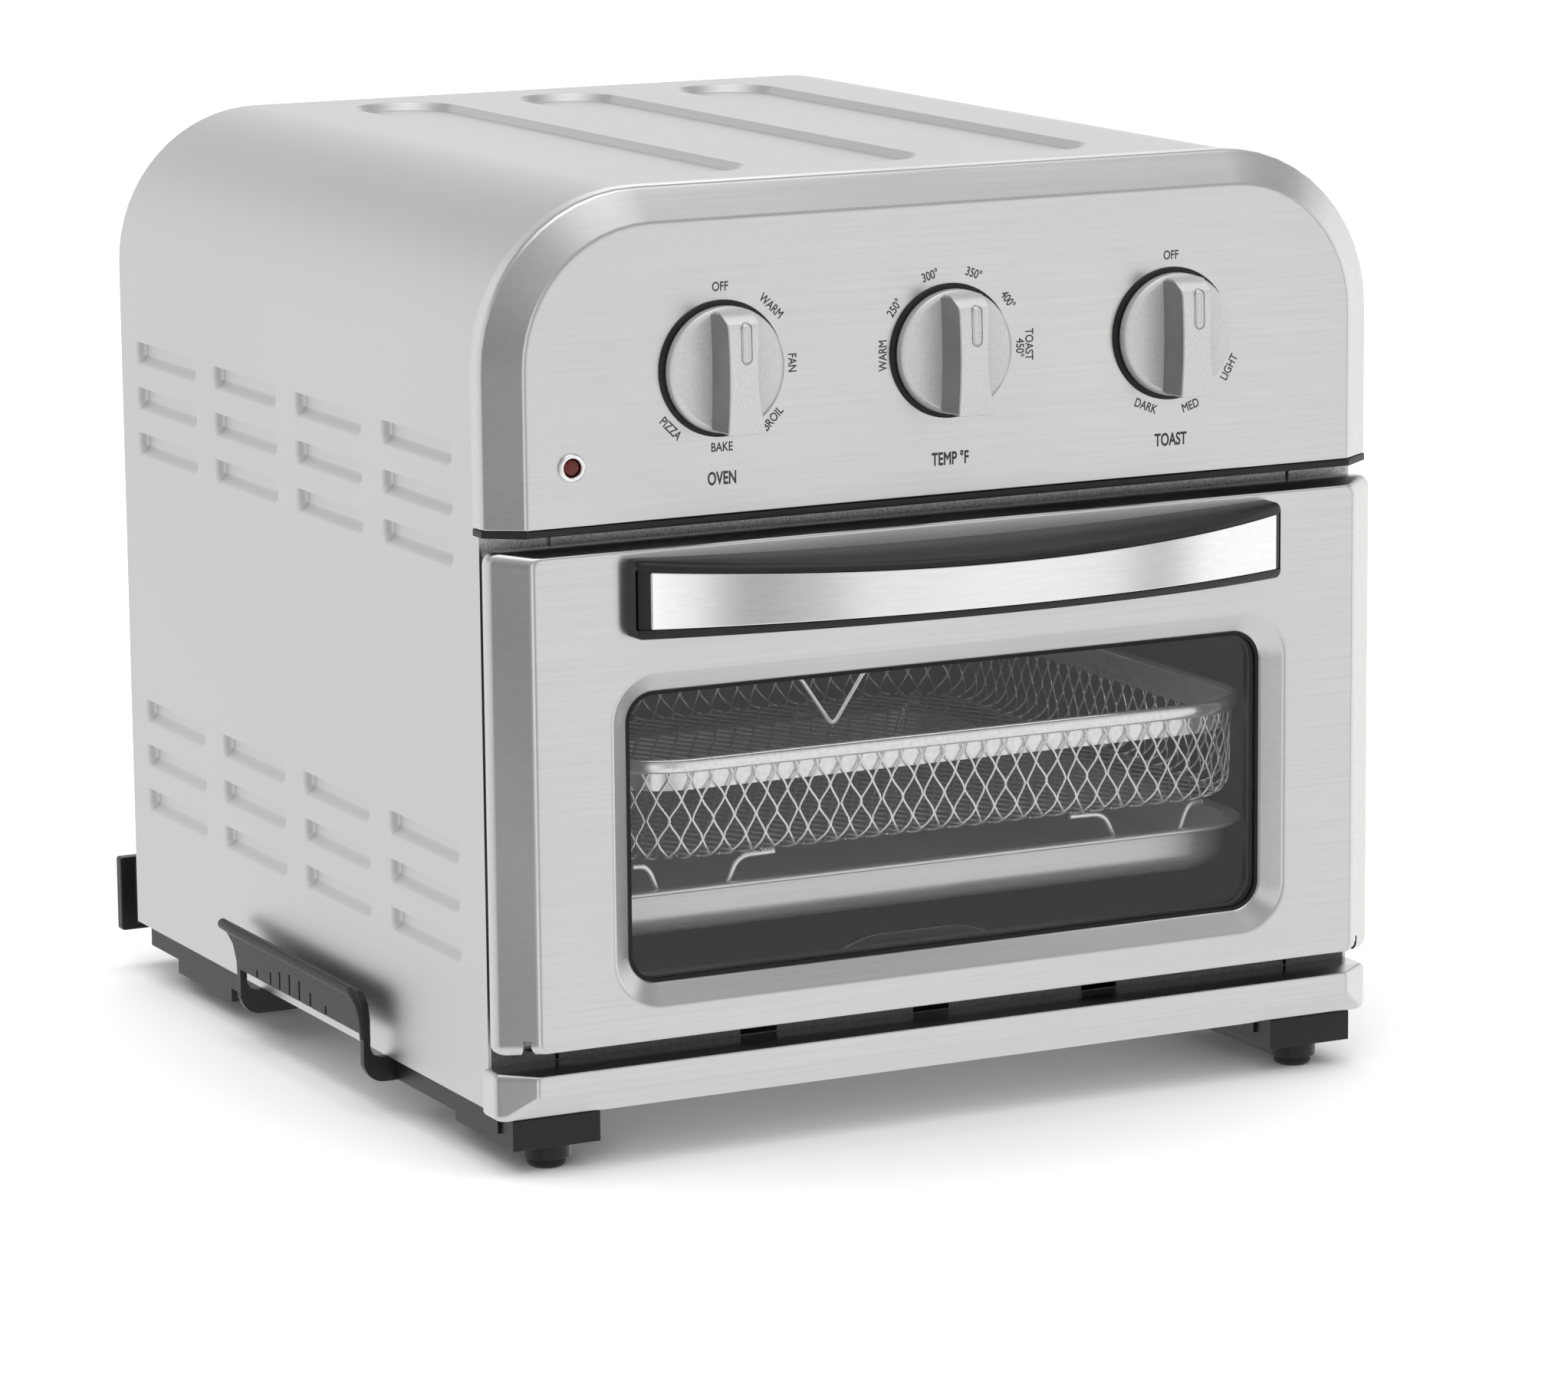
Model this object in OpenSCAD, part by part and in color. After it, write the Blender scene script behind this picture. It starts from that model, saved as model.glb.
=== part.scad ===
// Countertop toaster oven with a drop-down glass door, three rotary controls,
// a mesh air-fry basket standing in a baking pan, and a fan above the cavity.
// Local frame of every module: X to the right seen from the front, Y from the front edge
// of the outer shell towards the back, Z up from the surface that the feet stand on.

/* [Body] */
// Width of the outer shell
body_w = 312; // [300:1:330]
// Depth of the outer shell, front edge to back edge
body_d = 304; // [296:1:330]
// Height of the top sheet above the table
body_top = 306; // [302:1:315]
// Height of the bottom edge of the side sheets
sheet_bottom = 20; // [20:1:22]
// Radius of the two upper corners
corner_r = 52; // [40:1:60]
// Thickness of the body sheet
sheet_t = 1; // [0.8:0.1:1.2]

/* [Louvres] */
// Length of one louvre
louvre_len = 55.5; // [40:0.5:58]
// Height of one louvre
louvre_h = 8.3; // [6:0.1:10]
// Spacing of the louvre columns
louvre_pitch = 71.5; // [66:0.5:72]
// Spacing of the louvre rows
louvre_row = 15.8; // [14:0.1:17]
// Columns of louvres in one group
louvre_cols = 4; // [2:1:4]
// Rows of louvres in one group
louvre_rows = 3; // [1:1:3]
// Height of the top louvre of the upper group
louvre_top_z = 228.3; // [220:0.1:235]
// Height of the top louvre of the lower group
louvre_low_z = 102.3; // [95:0.1:110]
// How far a louvre is pressed into the body
louvre_in = 4.5; // [3:0.1:6]

/* [Top channels] */
// Width of one channel pressed into the top
recess_w = 36; // [28:1:40]
// Length of a channel
recess_len = 260; // [240:1:264]
// Depth of a channel
recess_h = 2.2; // [1.6:0.1:3]

/* [Control panel] */
// Outer width of the pressed front parts
front_w = 316; // [316:1:320]
// Width of the flat face between the side bevels
flat_w = 292.8; // [280:0.1:300]
// How far the panel face stands in front of the shell
panel_proud = 14.9; // [13:0.1:16]
// Height of the panel's bottom edge
panel_bottom = 204.3; // [203:0.1:206]
// Height of the knob axes
knob_z = 250; // [245:1:255]
// Spacing of the knobs
knob_pitch = 80; // [70:1:85]
// Diameter of a knob's disc
knob_d = 39.4; // [34:0.1:42]
// How far the grip bar stands in front of its disc
grip_reach = 12; // [8:0.5:14]

/* [Door] */
// How far the door face stands in front of the shell
door_proud = 19; // [18:0.1:20]
// Height of the door's bottom edge
door_bottom = 39.3; // [39:0.1:40]
// Height of the door's top edge
door_top = 197.8; // [196:0.1:200]
// Width of the window opening
window_w = 227; // [200:1:230]
// Bottom of the window opening
window_bottom = 58.4; // [56:0.1:62]
// Top of the window opening
window_top = 150.6; // [140:0.1:152]
// Width of the bevel around the window
window_bevel = 7.2; // [5:0.1:8]
// Radius of the window's corners
window_r = 9.5; // [6:0.1:12]

/* [Handle] */
// Width of the door handle
handle_w = 229.4; // [200:0.1:240]
// Bottom of the handle's ends
handle_bottom = 169.3; // [168:0.1:171]
// Top of the handle's ends
handle_top = 194.1; // [192:0.1:196]
// How far the middle of the handle stands in front of the shell
handle_reach = 55.4; // [50:0.1:56]
// How far the middle of the handle bows out past its ends
handle_bow = 28.5; // [20:0.1:30]

/* [Oven cavity] */
// Width of the cavity between its side walls
cavity_w = 266; // [264:1:270]
// Depth of the cavity
cavity_d = 262; // [260:1:266]
// Height of the cavity floor
cavity_floor = 50; // [50:0.1:50.2]
// Height of the cavity ceiling
cavity_top = 196; // [195:1:197]

/* [Accessories] */
// Width of the baking pan over its rim
pan_w = 261; // [254:1:262]
// Height of the pan rim
pan_rim_z = 82; // [81:0.1:82.4]
// Height of the underside of the pan floor
pan_floor_z = 66.5; // [66:0.1:67]
// Width of the basket over its rim
basket_w = 250; // [240:1:251]
// Height of the basket rim
basket_rim_z = 124; // [119:1:125]
// Height of the underside of the basket floor
basket_floor_z = 90; // [88:1:91]
// How far right of the middle the loose basket stands in the pan
basket_shift = 5; // [0:0.5:5]

/* [Feet and rear] */
// Distance of the foot centres from the middle
foot_x = 136.3; // [134:0.1:138]
// How far the side grips stand out from the shell
grip_out = 8; // [7:0.5:10]
// How far the rear spacers stand behind the shell
spacer_reach = 20; // [15:1:30]

/* [Hidden] */
$fn = 64;

clear = 0.3;
front_y = -(body_d + spacer_reach - handle_reach) / 2;

shell_in = body_w / 2 - sheet_t;
recess_x = [-62, 0, 62];
recess_y = 156;
front_half = front_w / 2;
flat_half = flat_w / 2;
front_top = body_top + 0.8;
front_r = corner_r + 2;
bevel_y = 6.5;
skin_t = 1.2;
divider_z = 202;

frame_t = 1;
liner_t = 0.8;
liner_half = cavity_w / 2;

hinge_y = -11;
hinge_z = 45.8;
door_back = 6.5;
inner_front = 10;
glass_front = 13.2;
window_half = window_w / 2;
window_z = (window_bottom + window_top) / 2;
window_h = window_top - window_bottom;
bracket_x = 148;
bracket_t = 1.5;
pin_r = 2;
pin_clear = 0.05;

handle_half = handle_w / 2;
handle_arc_r = (handle_half * handle_half + handle_bow * handle_bow) / (2 * handle_bow);
handle_arc_y = -handle_reach + handle_arc_r;
handle_screw_x = 104;
handle_screw_z = 182;

shaft_r = 3;
knob_back = panel_proud + 1.3;
knob_face = knob_back + 4.3;
knob_tip = knob_face + grip_reach;
grip_w = 11.5;
grip_len = 37;

fan_y = 140;
fan_r = 46;
guard_r = 58;
guard_z = 176;
motor_z = 206;

pan_front = 6;
pan_back = 244;
basket_front = 4;
basket_back = 234;
basket_half = basket_w / 2;
rod_r = 3.2;
low_rod_z = 57.6;
top_rod_z = 185;

lamp_x = -131.3;
lamp_z = 222.9;

rail_in = 121;
rail_out = 153;
rail_z = 12;
grip_front = 84;
grip_back = 188;
grip_x = body_w / 2 + grip_out;

module place() { translate([0, front_y, 0]) children(); }

// A box given by its lowest and highest corners
module box(lo, hi) { translate(lo) cube(hi - lo); }

// A cylinder along +Y from y0 to y1
module rod_y(r, x, z, y0, y1) { translate([x, y0, z]) rotate([-90, 0, 0]) cylinder(r = r, h = y1 - y0); }

// A cylinder along +X from x0 to x1
module rod_x(r, y, z, x0, x1) { translate([x0, y, z]) rotate([0, 90, 0]) cylinder(r = r, h = x1 - x0); }

// Draws its flat children, given in X and Z, as a slab from y0 to y1
module slab(y0, y1) { translate([0, y1, 0]) rotate([90, 0, 0]) linear_extrude(y1 - y0) children(); }

// Both sides of a mirrored pair
module both() {
    children();
    mirror([1, 0, 0]) children();
}

module rounded_rect(w, h, r) {
    for (sx = [-1, 1], sz = [-1, 1]) translate([sx * (w / 2 - r), sz * (h / 2 - r)]) circle(r);
    square([w - 2 * r, h], center = true);
    square([w, h - 2 * r], center = true);
}

// The arch outline of the body: flat bottom, two large upper corners
module arch(half, bottom, top, r) {
    translate([-half, bottom]) square([2 * half, top - r - bottom]);
    translate([-half + r, bottom]) square([2 * half - 2 * r, top - bottom]);
    intersection() {
        for (s = [-1, 1]) translate([s * (half - r), top - r]) circle(r);
        translate([-half, top - r]) square([2 * half, r]);
    }
}

module window_outline(grow) {
    translate([0, window_z]) rounded_rect(window_w + 2 * grow, window_h + 2 * grow, window_r + grow * 0.9);
}

// ---------------------------------------------------------------- chassis

module louvre_cut(y, z) {
    box([-body_w / 2 - 1, y, z - louvre_h], [-shell_in + 1, y + louvre_len, z]);
}

// The pressed-in ramp below a louvre's slit, with a wall at each end
module louvre_hood(y, z) {
    ramp = [[-body_w / 2, z - louvre_h], [-shell_in, z - louvre_h], [-shell_in + louvre_in, z - 2],
        [-body_w / 2 + louvre_in, z - 2]];
    cheek = [[-body_w / 2, z - louvre_h], [-body_w / 2 + louvre_in, z - 2], [-body_w / 2 + louvre_in, z],
        [-body_w / 2, z]];
    slab(y, y + louvre_len) polygon(ramp);
    for (end = [y - 0.4, y + louvre_len - 0.4]) slab(end, end + 0.8) polygon(cheek);
}

module each_louvre() {
    for (top = [louvre_top_z, louvre_low_z], row = [0:louvre_rows - 1], col = [0:louvre_cols - 1]) {
        $ly = 19.5 + col * louvre_pitch;
        $lz = top - row * louvre_row;
        children();
    }
}

module outer_shell() color([0.78, 0.78, 0.76]) {
    difference() {
        union() {
            difference() {
                slab(0, body_d) arch(body_w / 2, sheet_bottom, body_top, corner_r);
                slab(-1, body_d + 1) arch(shell_in, sheet_bottom - 1, body_top - sheet_t, corner_r - sheet_t);
            }
            for (x = recess_x) recess_form(x, recess_w / 2 + 1, body_top - recess_h - 0.8, body_top - 0.5);
        }
        for (x = recess_x) recess_form(x, recess_w / 2, body_top - recess_h, body_top + 1);
        both() each_louvre() louvre_cut($ly, $lz);
    }
    both() each_louvre() louvre_hood($ly, $lz);
}

// One long round-ended channel of the top sheet, between two heights
module recess_form(x, half, z0, z1) {
    reach = recess_len / 2 - half;
    translate([x, recess_y, z0]) linear_extrude(z1 - z0) {
        square([2 * half, 2 * reach], center = true);
        for (s = [-1, 1]) translate([0, s * reach]) circle(half);
    }
}

module rear_panel() color([0.55, 0.56, 0.56]) difference() {
    slab(body_d - 1, body_d) arch(shell_in, sheet_bottom + 0.2, body_top - sheet_t, corner_r - sheet_t);
    for (row = [0:5], col = [0:6])
        box([-75 + col * 22, body_d - 2, 222 + row * 11], [-59 + col * 22, body_d + 1, 226.5 + row * 11]);
    for (row = [0:2], col = [0:6])
        box([-75 + col * 22, body_d - 2, 60 + row * 11], [-59 + col * 22, body_d + 1, 64.5 + row * 11]);
    rod_y(7, 112, 60, body_d - 2, body_d + 1);
    rear_screw_places() rod_y(1.7, 0, 0, body_d - 2, body_d + 1);
}

module rear_screw_places() {
    for (s = [-1, 1], z = [48, 120, 210]) translate([s * 147, 0, z]) children();
    for (s = [-1, 1]) translate([s * 60, 0, 296]) children();
}

module rear_screws() color([0.7, 0.7, 0.7]) rear_screw_places() {
    rod_y(1.65, 0, 0, body_d - 8, body_d);
    difference() {
        rod_y(3.6, 0, 0, body_d, body_d + 2);
        box([-2.4, body_d + 1.1, -0.4], [2.4, body_d + 3, 0.4]);
        box([-0.4, body_d + 1.1, -2.4], [0.4, body_d + 3, 2.4]);
    }
}

module base_plate() color([0.62, 0.63, 0.63]) difference() {
    box([-shell_in, 1.2, sheet_bottom], [shell_in, body_d - 1.2, sheet_bottom + 1]);
    for (row = [0:4], col = [0:5])
        box([-92 + col * 32, 70 + row * 40, sheet_bottom - 1], [-68 + col * 32, 76 + row * 40, sheet_bottom + 2]);
    base_screw_places() cylinder(r = 2.05, h = 60);
}

module base_screw_places() { for (sx = [-1, 1], y = [60, 220]) translate([sx * 137, y, 0]) children(); }

module base_screws() color([0.7, 0.7, 0.7]) base_screw_places() {
    translate([0, 0, rail_z - 2]) cylinder(r = 3.8, h = 2);
    translate([0, 0, rail_z]) cylinder(r = 2, h = sheet_bottom + 4 - rail_z);
}

// Black moulding under one side: runner, two feet and the carrying grip (left side)
module rail_half() {
    difference() {
        union() {
            box([-rail_out, 0.5, rail_z], [-rail_in, grip_front, sheet_bottom]);
            box([-rail_out, grip_back, rail_z], [-rail_in, body_d - 5, sheet_bottom]);
            box([-rail_in - 3, grip_front, rail_z], [-rail_in, grip_back, sheet_bottom]);
            for (y = [grip_front - 3, grip_back])
                box([-grip_x, y, rail_z], [-rail_in, y + 3, sheet_bottom - 0.2]);
            for (y = [grip_front - 3, grip_back])
                box([-grip_x, y, rail_z], [-body_w / 2 - clear, y + 3, 38.5]);
            box([-grip_x, grip_front - 3, 22.5], [-grip_x + 2.5, grip_back + 3, 38.5]);
            box([-grip_x - 1.5, grip_front - 3, 36.5], [-grip_x + 2.5, grip_back + 22, 38.5]);
            box([-152, -9, 8.2], [-122, 36, 18]);
            box([-152, 226, 6.5], [-122, 276, rail_z + 1]);
            foot_block(1.2, 46);
            foot_block(242, 288);
        }
        for (y = [60, 220]) translate([-137, y, 0]) cylinder(r = 2.05, h = 60);
        for (y = [1.2, 288]) translate([-foot_x, y, 0]) cylinder(r = 2.6, h = 7);
        for (i = [0:6]) box([-grip_x - 1, 98 + i * 13, 24], [-grip_x + 0.8, 99.2 + i * 13, 34]);
    }
}

// A long foot with round ends, from y0 to y1
module foot_block(y0, y1) {
    for (y = [y0, y1]) translate([-foot_x, y, 3.2]) cylinder(r = 7.8, h = rail_z - 3);
    box([-foot_x - 7.8, y0, 3.2], [-foot_x + 7.8, y1, rail_z + 0.2]);
}

module base_rail_left() color([0.09, 0.09, 0.09]) rail_half();
module base_rail_right() color([0.09, 0.09, 0.09]) mirror([1, 0, 0]) rail_half();

module foot_pads() color([0.05, 0.05, 0.05]) {
    for (s = [-1, 1], y = [1.2, 288]) translate([s * foot_x, y, 0]) {
        cylinder(r = 6.2, h = 3.2);
        cylinder(r = 2.55, h = 6.5);
    }
}

module front_frame() color([0.5, 0.51, 0.51]) difference() {
    slab(0, frame_t) arch(shell_in, sheet_bottom + 1.2, body_top - sheet_t, corner_r - sheet_t);
    box([-liner_half, -1, cavity_floor], [liner_half, 2, cavity_top]);
    for (x = [-knob_pitch, 0, knob_pitch]) rod_y(4.5, x, knob_z, -1, 2);
    for (x = recess_x) box([x - 6.5, -1, 34], [x + 6.5, 2, 39]);
    for (x = [-132.5, 132.5], z = [34, 196.4]) box([x - 0.6, -1, z], [x + 0.6, 2, z + 4.8]);
    rod_y(4, lamp_x, lamp_z, -1, 2);
}

module control_panel() color([0.8, 0.8, 0.78]) difference() {
    panel_form(0);
    panel_form(skin_t);
    for (x = [-knob_pitch, 0, knob_pitch]) rod_y(4.5, x, knob_z, -30, 1);
    rod_y(3.6, lamp_x, lamp_z, -30, 1);
}

// The bevelled front cap, shrunk by t on every side but the open back
module panel_form(t) {
    hull() {
        slab(-bevel_y, t > 0 ? 1 : 0) arch(front_half - t, panel_bottom + t, front_top - t, front_r - t);
        slab(-panel_proud + t, -panel_proud + t + 0.1)
            arch(flat_half - t * 0.6, panel_bottom + t, front_top - 10.6 - t * 0.6, front_r - 11);
    }
}

module divider_strip() color([0.06, 0.06, 0.06]) {
    back = [[front_half, -bevel_y], [front_half, 0], [-front_half, 0], [-front_half, -bevel_y]];
    front = [[-flat_half, -panel_proud - 0.6], [flat_half, -panel_proud - 0.6]];
    translate([0, 0, divider_z]) linear_extrude(panel_bottom - 0.1 - divider_z) polygon(concat(front, back));
}

module lower_trim() color([0.8, 0.8, 0.78]) difference() {
    trim_form(0);
    trim_form(skin_t);
}

// The bevelled bar below the door, shrunk by t on every side but the open back
module trim_form(t) {
    hull() {
        box([-front_half + t, -9, 19.8 + t], [front_half - t, t > 0 ? 1 : 0, 33.8 - t]);
        box([-flat_half + t / 2, -17 + t, 26], [flat_half - t / 2, -16.9 + t, 33.2 - t]);
        box([-flat_half - 4 + t, -11, 18.3 + t], [flat_half + 4 - t, t > 0 ? 1 : 0, 18.4 + t]);
    }
}

// ---------------------------------------------------------------- oven cavity

module cavity_wrap() color([0.6, 0.6, 0.6]) difference() {
    box([-liner_half - liner_t, frame_t, cavity_floor - liner_t],
        [liner_half + liner_t, cavity_d, cavity_top + liner_t]);
    box([-liner_half, 0, cavity_floor], [liner_half, cavity_d + 1, cavity_top]);
    translate([0, fan_y, cavity_top - 1]) cylinder(r = 8, h = 4);
    both() heater_places() rod_x(rod_r + 0.1, 0, 0, liner_half - 2, liner_half + 4);
}

module cavity_back() color([0.6, 0.6, 0.6]) {
    box([-liner_half - liner_t, cavity_d, cavity_floor - liner_t],
        [liner_half + liner_t, cavity_d + liner_t, cavity_top + liner_t]);
}

// Two pairs of pressed rack guides, the lower one under the pan's rim
module rack_guides() color([0.7, 0.7, 0.7]) {
    both() for (z = [pan_rim_z - 1.3, pan_rim_z + 58]) difference() {
        box([125.5, 16, z - 3], [liner_half, 256, z]);
        box([126.7, 15, z - 4], [liner_half - 1, 257, z - 1.2]);
    }
}

module heater_places() {
    for (y = [70, 190]) translate([0, y, low_rod_z]) children();
    for (y = [52, 228]) translate([0, y, top_rod_z]) children();
}

module upper_heaters() color([0.45, 0.44, 0.43]) {
    for (y = [52, 228]) rod_x(rod_r, y, top_rod_z, -liner_half - 9, liner_half + 9);
}

module lower_heaters() color([0.45, 0.44, 0.43]) {
    for (y = [70, 190]) rod_x(rod_r, y, low_rod_z, -liner_half - 9, liner_half + 9);
}

module heater_insulators() color([0.92, 0.9, 0.85]) {
    both() heater_places() difference() {
        rod_x(5.5, 0, 0, liner_half + liner_t, liner_half + 8);
        rod_x(rod_r + 0.02, 0, 0, liner_half - 1, liner_half + 10);
    }
}

// The flat wire hanger of the front element, with its V-shaped loop
module element_hanger() color([0.8, 0.8, 0.8]) translate([-20, 0, 123.6]) slab(28.3, 29.7) {
    difference() {
        polygon([[0, 0], [11, 19], [-11, 19]]);
        polygon([[0, 3], [9.3, 19.1], [-9.3, 19.1]]);
    }
    for (s = [-1, 1]) {
        translate([s * 22 - 12.6, 17.6]) square([25.2, 1.4]);
        translate([s * 33.9 - 0.7, 17.6]) square([1.4, cavity_top - 123.6 - 17.6]);
    }
}

// ---------------------------------------------------------------- fan and motor

module fan_guard() color([0.65, 0.65, 0.65]) translate([0, fan_y, 0]) difference() {
    translate([0, 0, guard_z]) cylinder(r = guard_r, h = cavity_top - guard_z);
    translate([0, 0, guard_z + 1]) cylinder(r = guard_r - 1, h = cavity_top - guard_z);
    for (ring = [0:3], i = [0:11 + 6 * ring])
        rotate([0, 0, i * 360 / (12 + 6 * ring)]) translate([16 + 11 * ring, 0, guard_z - 1])
            cylinder(r = 2.6, h = 3);
    for (i = [0:11]) rotate([0, 0, i * 30]) translate([guard_r - 3, -7, guard_z + 6]) cube([6, 14, 8]);
}

module hot_air_fan() color([0.7, 0.7, 0.72]) translate([0, fan_y, 0]) {
    difference() {
        union() {
            translate([0, 0, 191]) cylinder(r = fan_r, h = 0.8);
            translate([0, 0, 181]) cylinder(r = 7, h = 10.5);
            for (i = [0:11]) rotate([0, 0, i * 30]) translate([16, 0, 181]) rotate([0, 0, 25])
                cube([26, 0.8, 10.2]);
        }
        translate([0, 0, 170]) cylinder(r = shaft_r, h = 40);
    }
}

module fan_shaft() color([0.75, 0.75, 0.75]) translate([0, fan_y, 181]) cylinder(r = shaft_r, h = 83);

module cooling_fan() color([0.7, 0.7, 0.72]) translate([0, fan_y, 0]) difference() {
    union() {
        translate([0, 0, 252]) cylinder(r = 7, h = 9);
        translate([0, 0, 256]) cylinder(r = 18, h = 0.8);
        for (i = [0:7]) rotate([0, 0, i * 45]) translate([6, -0.4, 252]) cube([26, 0.8, 8]);
    }
    translate([0, 0, 240]) cylinder(r = shaft_r, h = 40);
}

module fan_motor() color([0.35, 0.33, 0.3]) translate([0, fan_y, 0]) difference() {
    union() {
        translate([-30, -25, motor_z + 4]) cube([60, 50, 22]);
        translate([0, 0, motor_z]) cylinder(r = 20, h = 34);
        translate([16, -12, motor_z + 2]) cube([24, 24, 26]);
    }
    translate([0, 0, motor_z - 1]) cylinder(r = shaft_r + 0.05, h = 60);
}

module motor_bracket() color([0.7, 0.7, 0.7]) translate([0, fan_y, 0]) difference() {
    union() {
        translate([-46, -14, motor_z - 1.2]) cube([92, 28, 1.2]);
        for (s = [-1, 1]) translate([s * 46 - 0.6, -14, cavity_top + liner_t])
            cube([1.2, 28, motor_z - cavity_top - liner_t]);
    }
    translate([0, 0, motor_z - 3]) cylinder(r = 5, h = 6);
}

// ---------------------------------------------------------------- controls

// A control's housing behind the front frame, with a bushing and two terminal tabs
module control_body(x, w, h, d) {
    difference() {
        union() {
            box([x - w / 2, frame_t, knob_z - h / 2], [x + w / 2, frame_t + d, knob_z + h / 2]);
            rod_y(4.4, x, knob_z, -4, frame_t + 1);
        }
        rod_y(shaft_r + 0.05, x, knob_z, -6, frame_t + d - 4);
    }
    for (s = [-1, 1]) box([x + s * 10 - 3, frame_t + d, knob_z - 0.4], [x + s * 10 + 3, frame_t + d + 5.5, knob_z + 0.4]);
}

module function_switch() color([0.85, 0.82, 0.7]) control_body(-knob_pitch, 40, 40, 26);
module thermostat() color([0.8, 0.78, 0.72]) control_body(0, 32, 36, 22);
module toast_timer() color([0.75, 0.75, 0.78]) control_body(knob_pitch, 50, 46, 32);

module timer_bell() color([0.8, 0.75, 0.55]) translate([knob_pitch, frame_t + 34, knob_z + 6]) rotate([-90, 0, 0]) {
    rotate_extrude() polygon([[0, 9], [8, 8.4], [15, 5], [18, 0], [17, 0], [14.4, 4.2], [7.8, 7.4], [0, 8]]);
    translate([0, 0, -1]) cylinder(r = 1.5, h = 9.5);
}

module internal_wires() color([0.75, 0.2, 0.15]) {
    for (z = [-8, 0, 8]) {
        rod_x(1.2, 12, knob_z + z, -knob_pitch + 20, -16);
        rod_x(1.2, 12, knob_z + z, 16, knob_pitch - 25);
    }
}

module control_shaft(x) {
    rod_y(shaft_r, x, knob_z, -knob_tip + 7, 18);
}

// A knob: thin disc with a grip bar across it, bored for its shaft
module knob(x) {
    difference() {
        union() {
            rod_y(knob_d / 2, x, knob_z, -knob_face, -knob_back);
            box([x - grip_w / 2, -knob_tip, knob_z - grip_len / 2],
                [x + grip_w / 2, -knob_face, knob_z + grip_len / 2]);
            box([x - 1.2, -knob_tip - 0.4, knob_z + 7], [x + 1.2, -knob_tip, knob_z + grip_len / 2 - 1]);
        }
        rod_y(shaft_r, x, knob_z, -knob_tip + 7, 0);
        box([x - grip_w, -knob_tip + 0.6, knob_z - 17], [x - grip_w / 2 + 0.8, -knob_face - 0.4, knob_z + 17]);
    }
}

module knob_inlay(x) {
    box([x - grip_w / 2, -knob_tip + 0.6, knob_z - 17], [x - grip_w / 2 + 0.8, -knob_face - 0.4, knob_z + 17]);
}

module function_shaft() color([0.7, 0.7, 0.7]) control_shaft(-knob_pitch);
module temperature_shaft() color([0.7, 0.7, 0.7]) control_shaft(0);
module timer_shaft() color([0.7, 0.7, 0.7]) control_shaft(knob_pitch);
module function_knob() color([0.75, 0.75, 0.75]) knob(-knob_pitch);
module temperature_knob() color([0.75, 0.75, 0.75]) knob(0);
module timer_knob() color([0.75, 0.75, 0.75]) knob(knob_pitch);
module function_inlay() color([0.3, 0.3, 0.3]) knob_inlay(-knob_pitch);
module temperature_inlay() color([0.3, 0.3, 0.3]) knob_inlay(0);
module timer_inlay() color([0.3, 0.3, 0.3]) knob_inlay(knob_pitch);

module knob_bezels() color([0.04, 0.04, 0.04]) for (x = [-knob_pitch, 0, knob_pitch]) difference() {
    rod_y(21.4, x, knob_z, -knob_back + clear, -panel_proud);
    rod_y(4.5, x, knob_z, -knob_back - 1, 0);
}

module indicator_bezel() color([0.85, 0.85, 0.85]) difference() {
    union() {
        rod_y(4.6, lamp_x, lamp_z, -panel_proud - 1.4, -panel_proud);
        rod_y(3.6, lamp_x, lamp_z, -panel_proud, -panel_proud + 4);
    }
    rod_y(3, lamp_x, lamp_z, -20, 0);
}

module indicator_lens() color([0.7, 0.08, 0.05]) {
    rod_y(3, lamp_x, lamp_z, -panel_proud - 1.2, -panel_proud + 4);
}

module indicator_lamp() color([0.9, 0.6, 0.4]) {
    rod_y(2.4, lamp_x, lamp_z, -panel_proud + 4, 6);
}

// ---------------------------------------------------------------- door

module door_panel() color([0.8, 0.8, 0.78]) difference() {
    union() {
        difference() {
            door_form(0);
            door_form(sheet_t);
        }
        slab(-door_proud + 0.5, -14) window_outline(window_bevel + 0.8);
    }
    hull() {
        slab(-door_proud - 0.2, -door_proud) window_outline(window_bevel);
        slab(-14.1, -13) window_outline(0);
    }
    for (s = [-1, 1]) {
        rod_y(2.05, s * handle_screw_x, handle_screw_z, -30, 0);
        box([s * (bracket_x + 0.75) - 2.2, -17, 30], [s * (bracket_x + 0.75) + 2.2, 0, 45]);
    }
}

// The pressed door cap: side bevels, small rounding at top and bottom
module door_form(t) {
    back = t > 0 ? 0 : -door_back;
    hull() {
        box([-front_half + t, -10, door_bottom + t], [front_half - t, back, door_top - t]);
        box([-flat_half + t * 0.6, -door_proud + t, door_bottom + 1.5 + t / 2],
            [flat_half - t * 0.6, -door_proud + t + 0.1, door_top - 1.5 - t / 2]);
    }
}

module door_inner_frame() color([0.6, 0.6, 0.6]) difference() {
    box([-front_half + 1.3, -inner_front, door_bottom + 1.3], [front_half - 1.3, -door_back, door_top - 1.3]);
    slab(-20, 0) window_outline(-1.5);
    both() box([138.5, -20, 30], [front_half, 0, 52]);
}

module door_glass() color([0.2, 0.2, 0.2, 0.4]) {
    slab(-glass_front, -inner_front) translate([0, window_z]) rounded_rect(window_w + 11, window_h + 11, 12);
}

module door_gasket() color([0.03, 0.03, 0.03]) slab(-14, -glass_front) difference() {
    translate([0, window_z]) rounded_rect(window_w + 11, window_h + 11, 12);
    window_outline(-1);
}

// The handle's plan: a straight back at y = back and a bowed front, set in by inset
module handle_plan(inset, half, back) {
    steps = 36;
    bow = [for (i = [0:steps]) let (x = half * (2 * i / steps - 1))
        [x, handle_arc_y - sqrt((handle_arc_r - inset) * (handle_arc_r - inset) - x * x)]];
    polygon(concat(bow, [[half, back], [-half, back]]));
}

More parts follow.
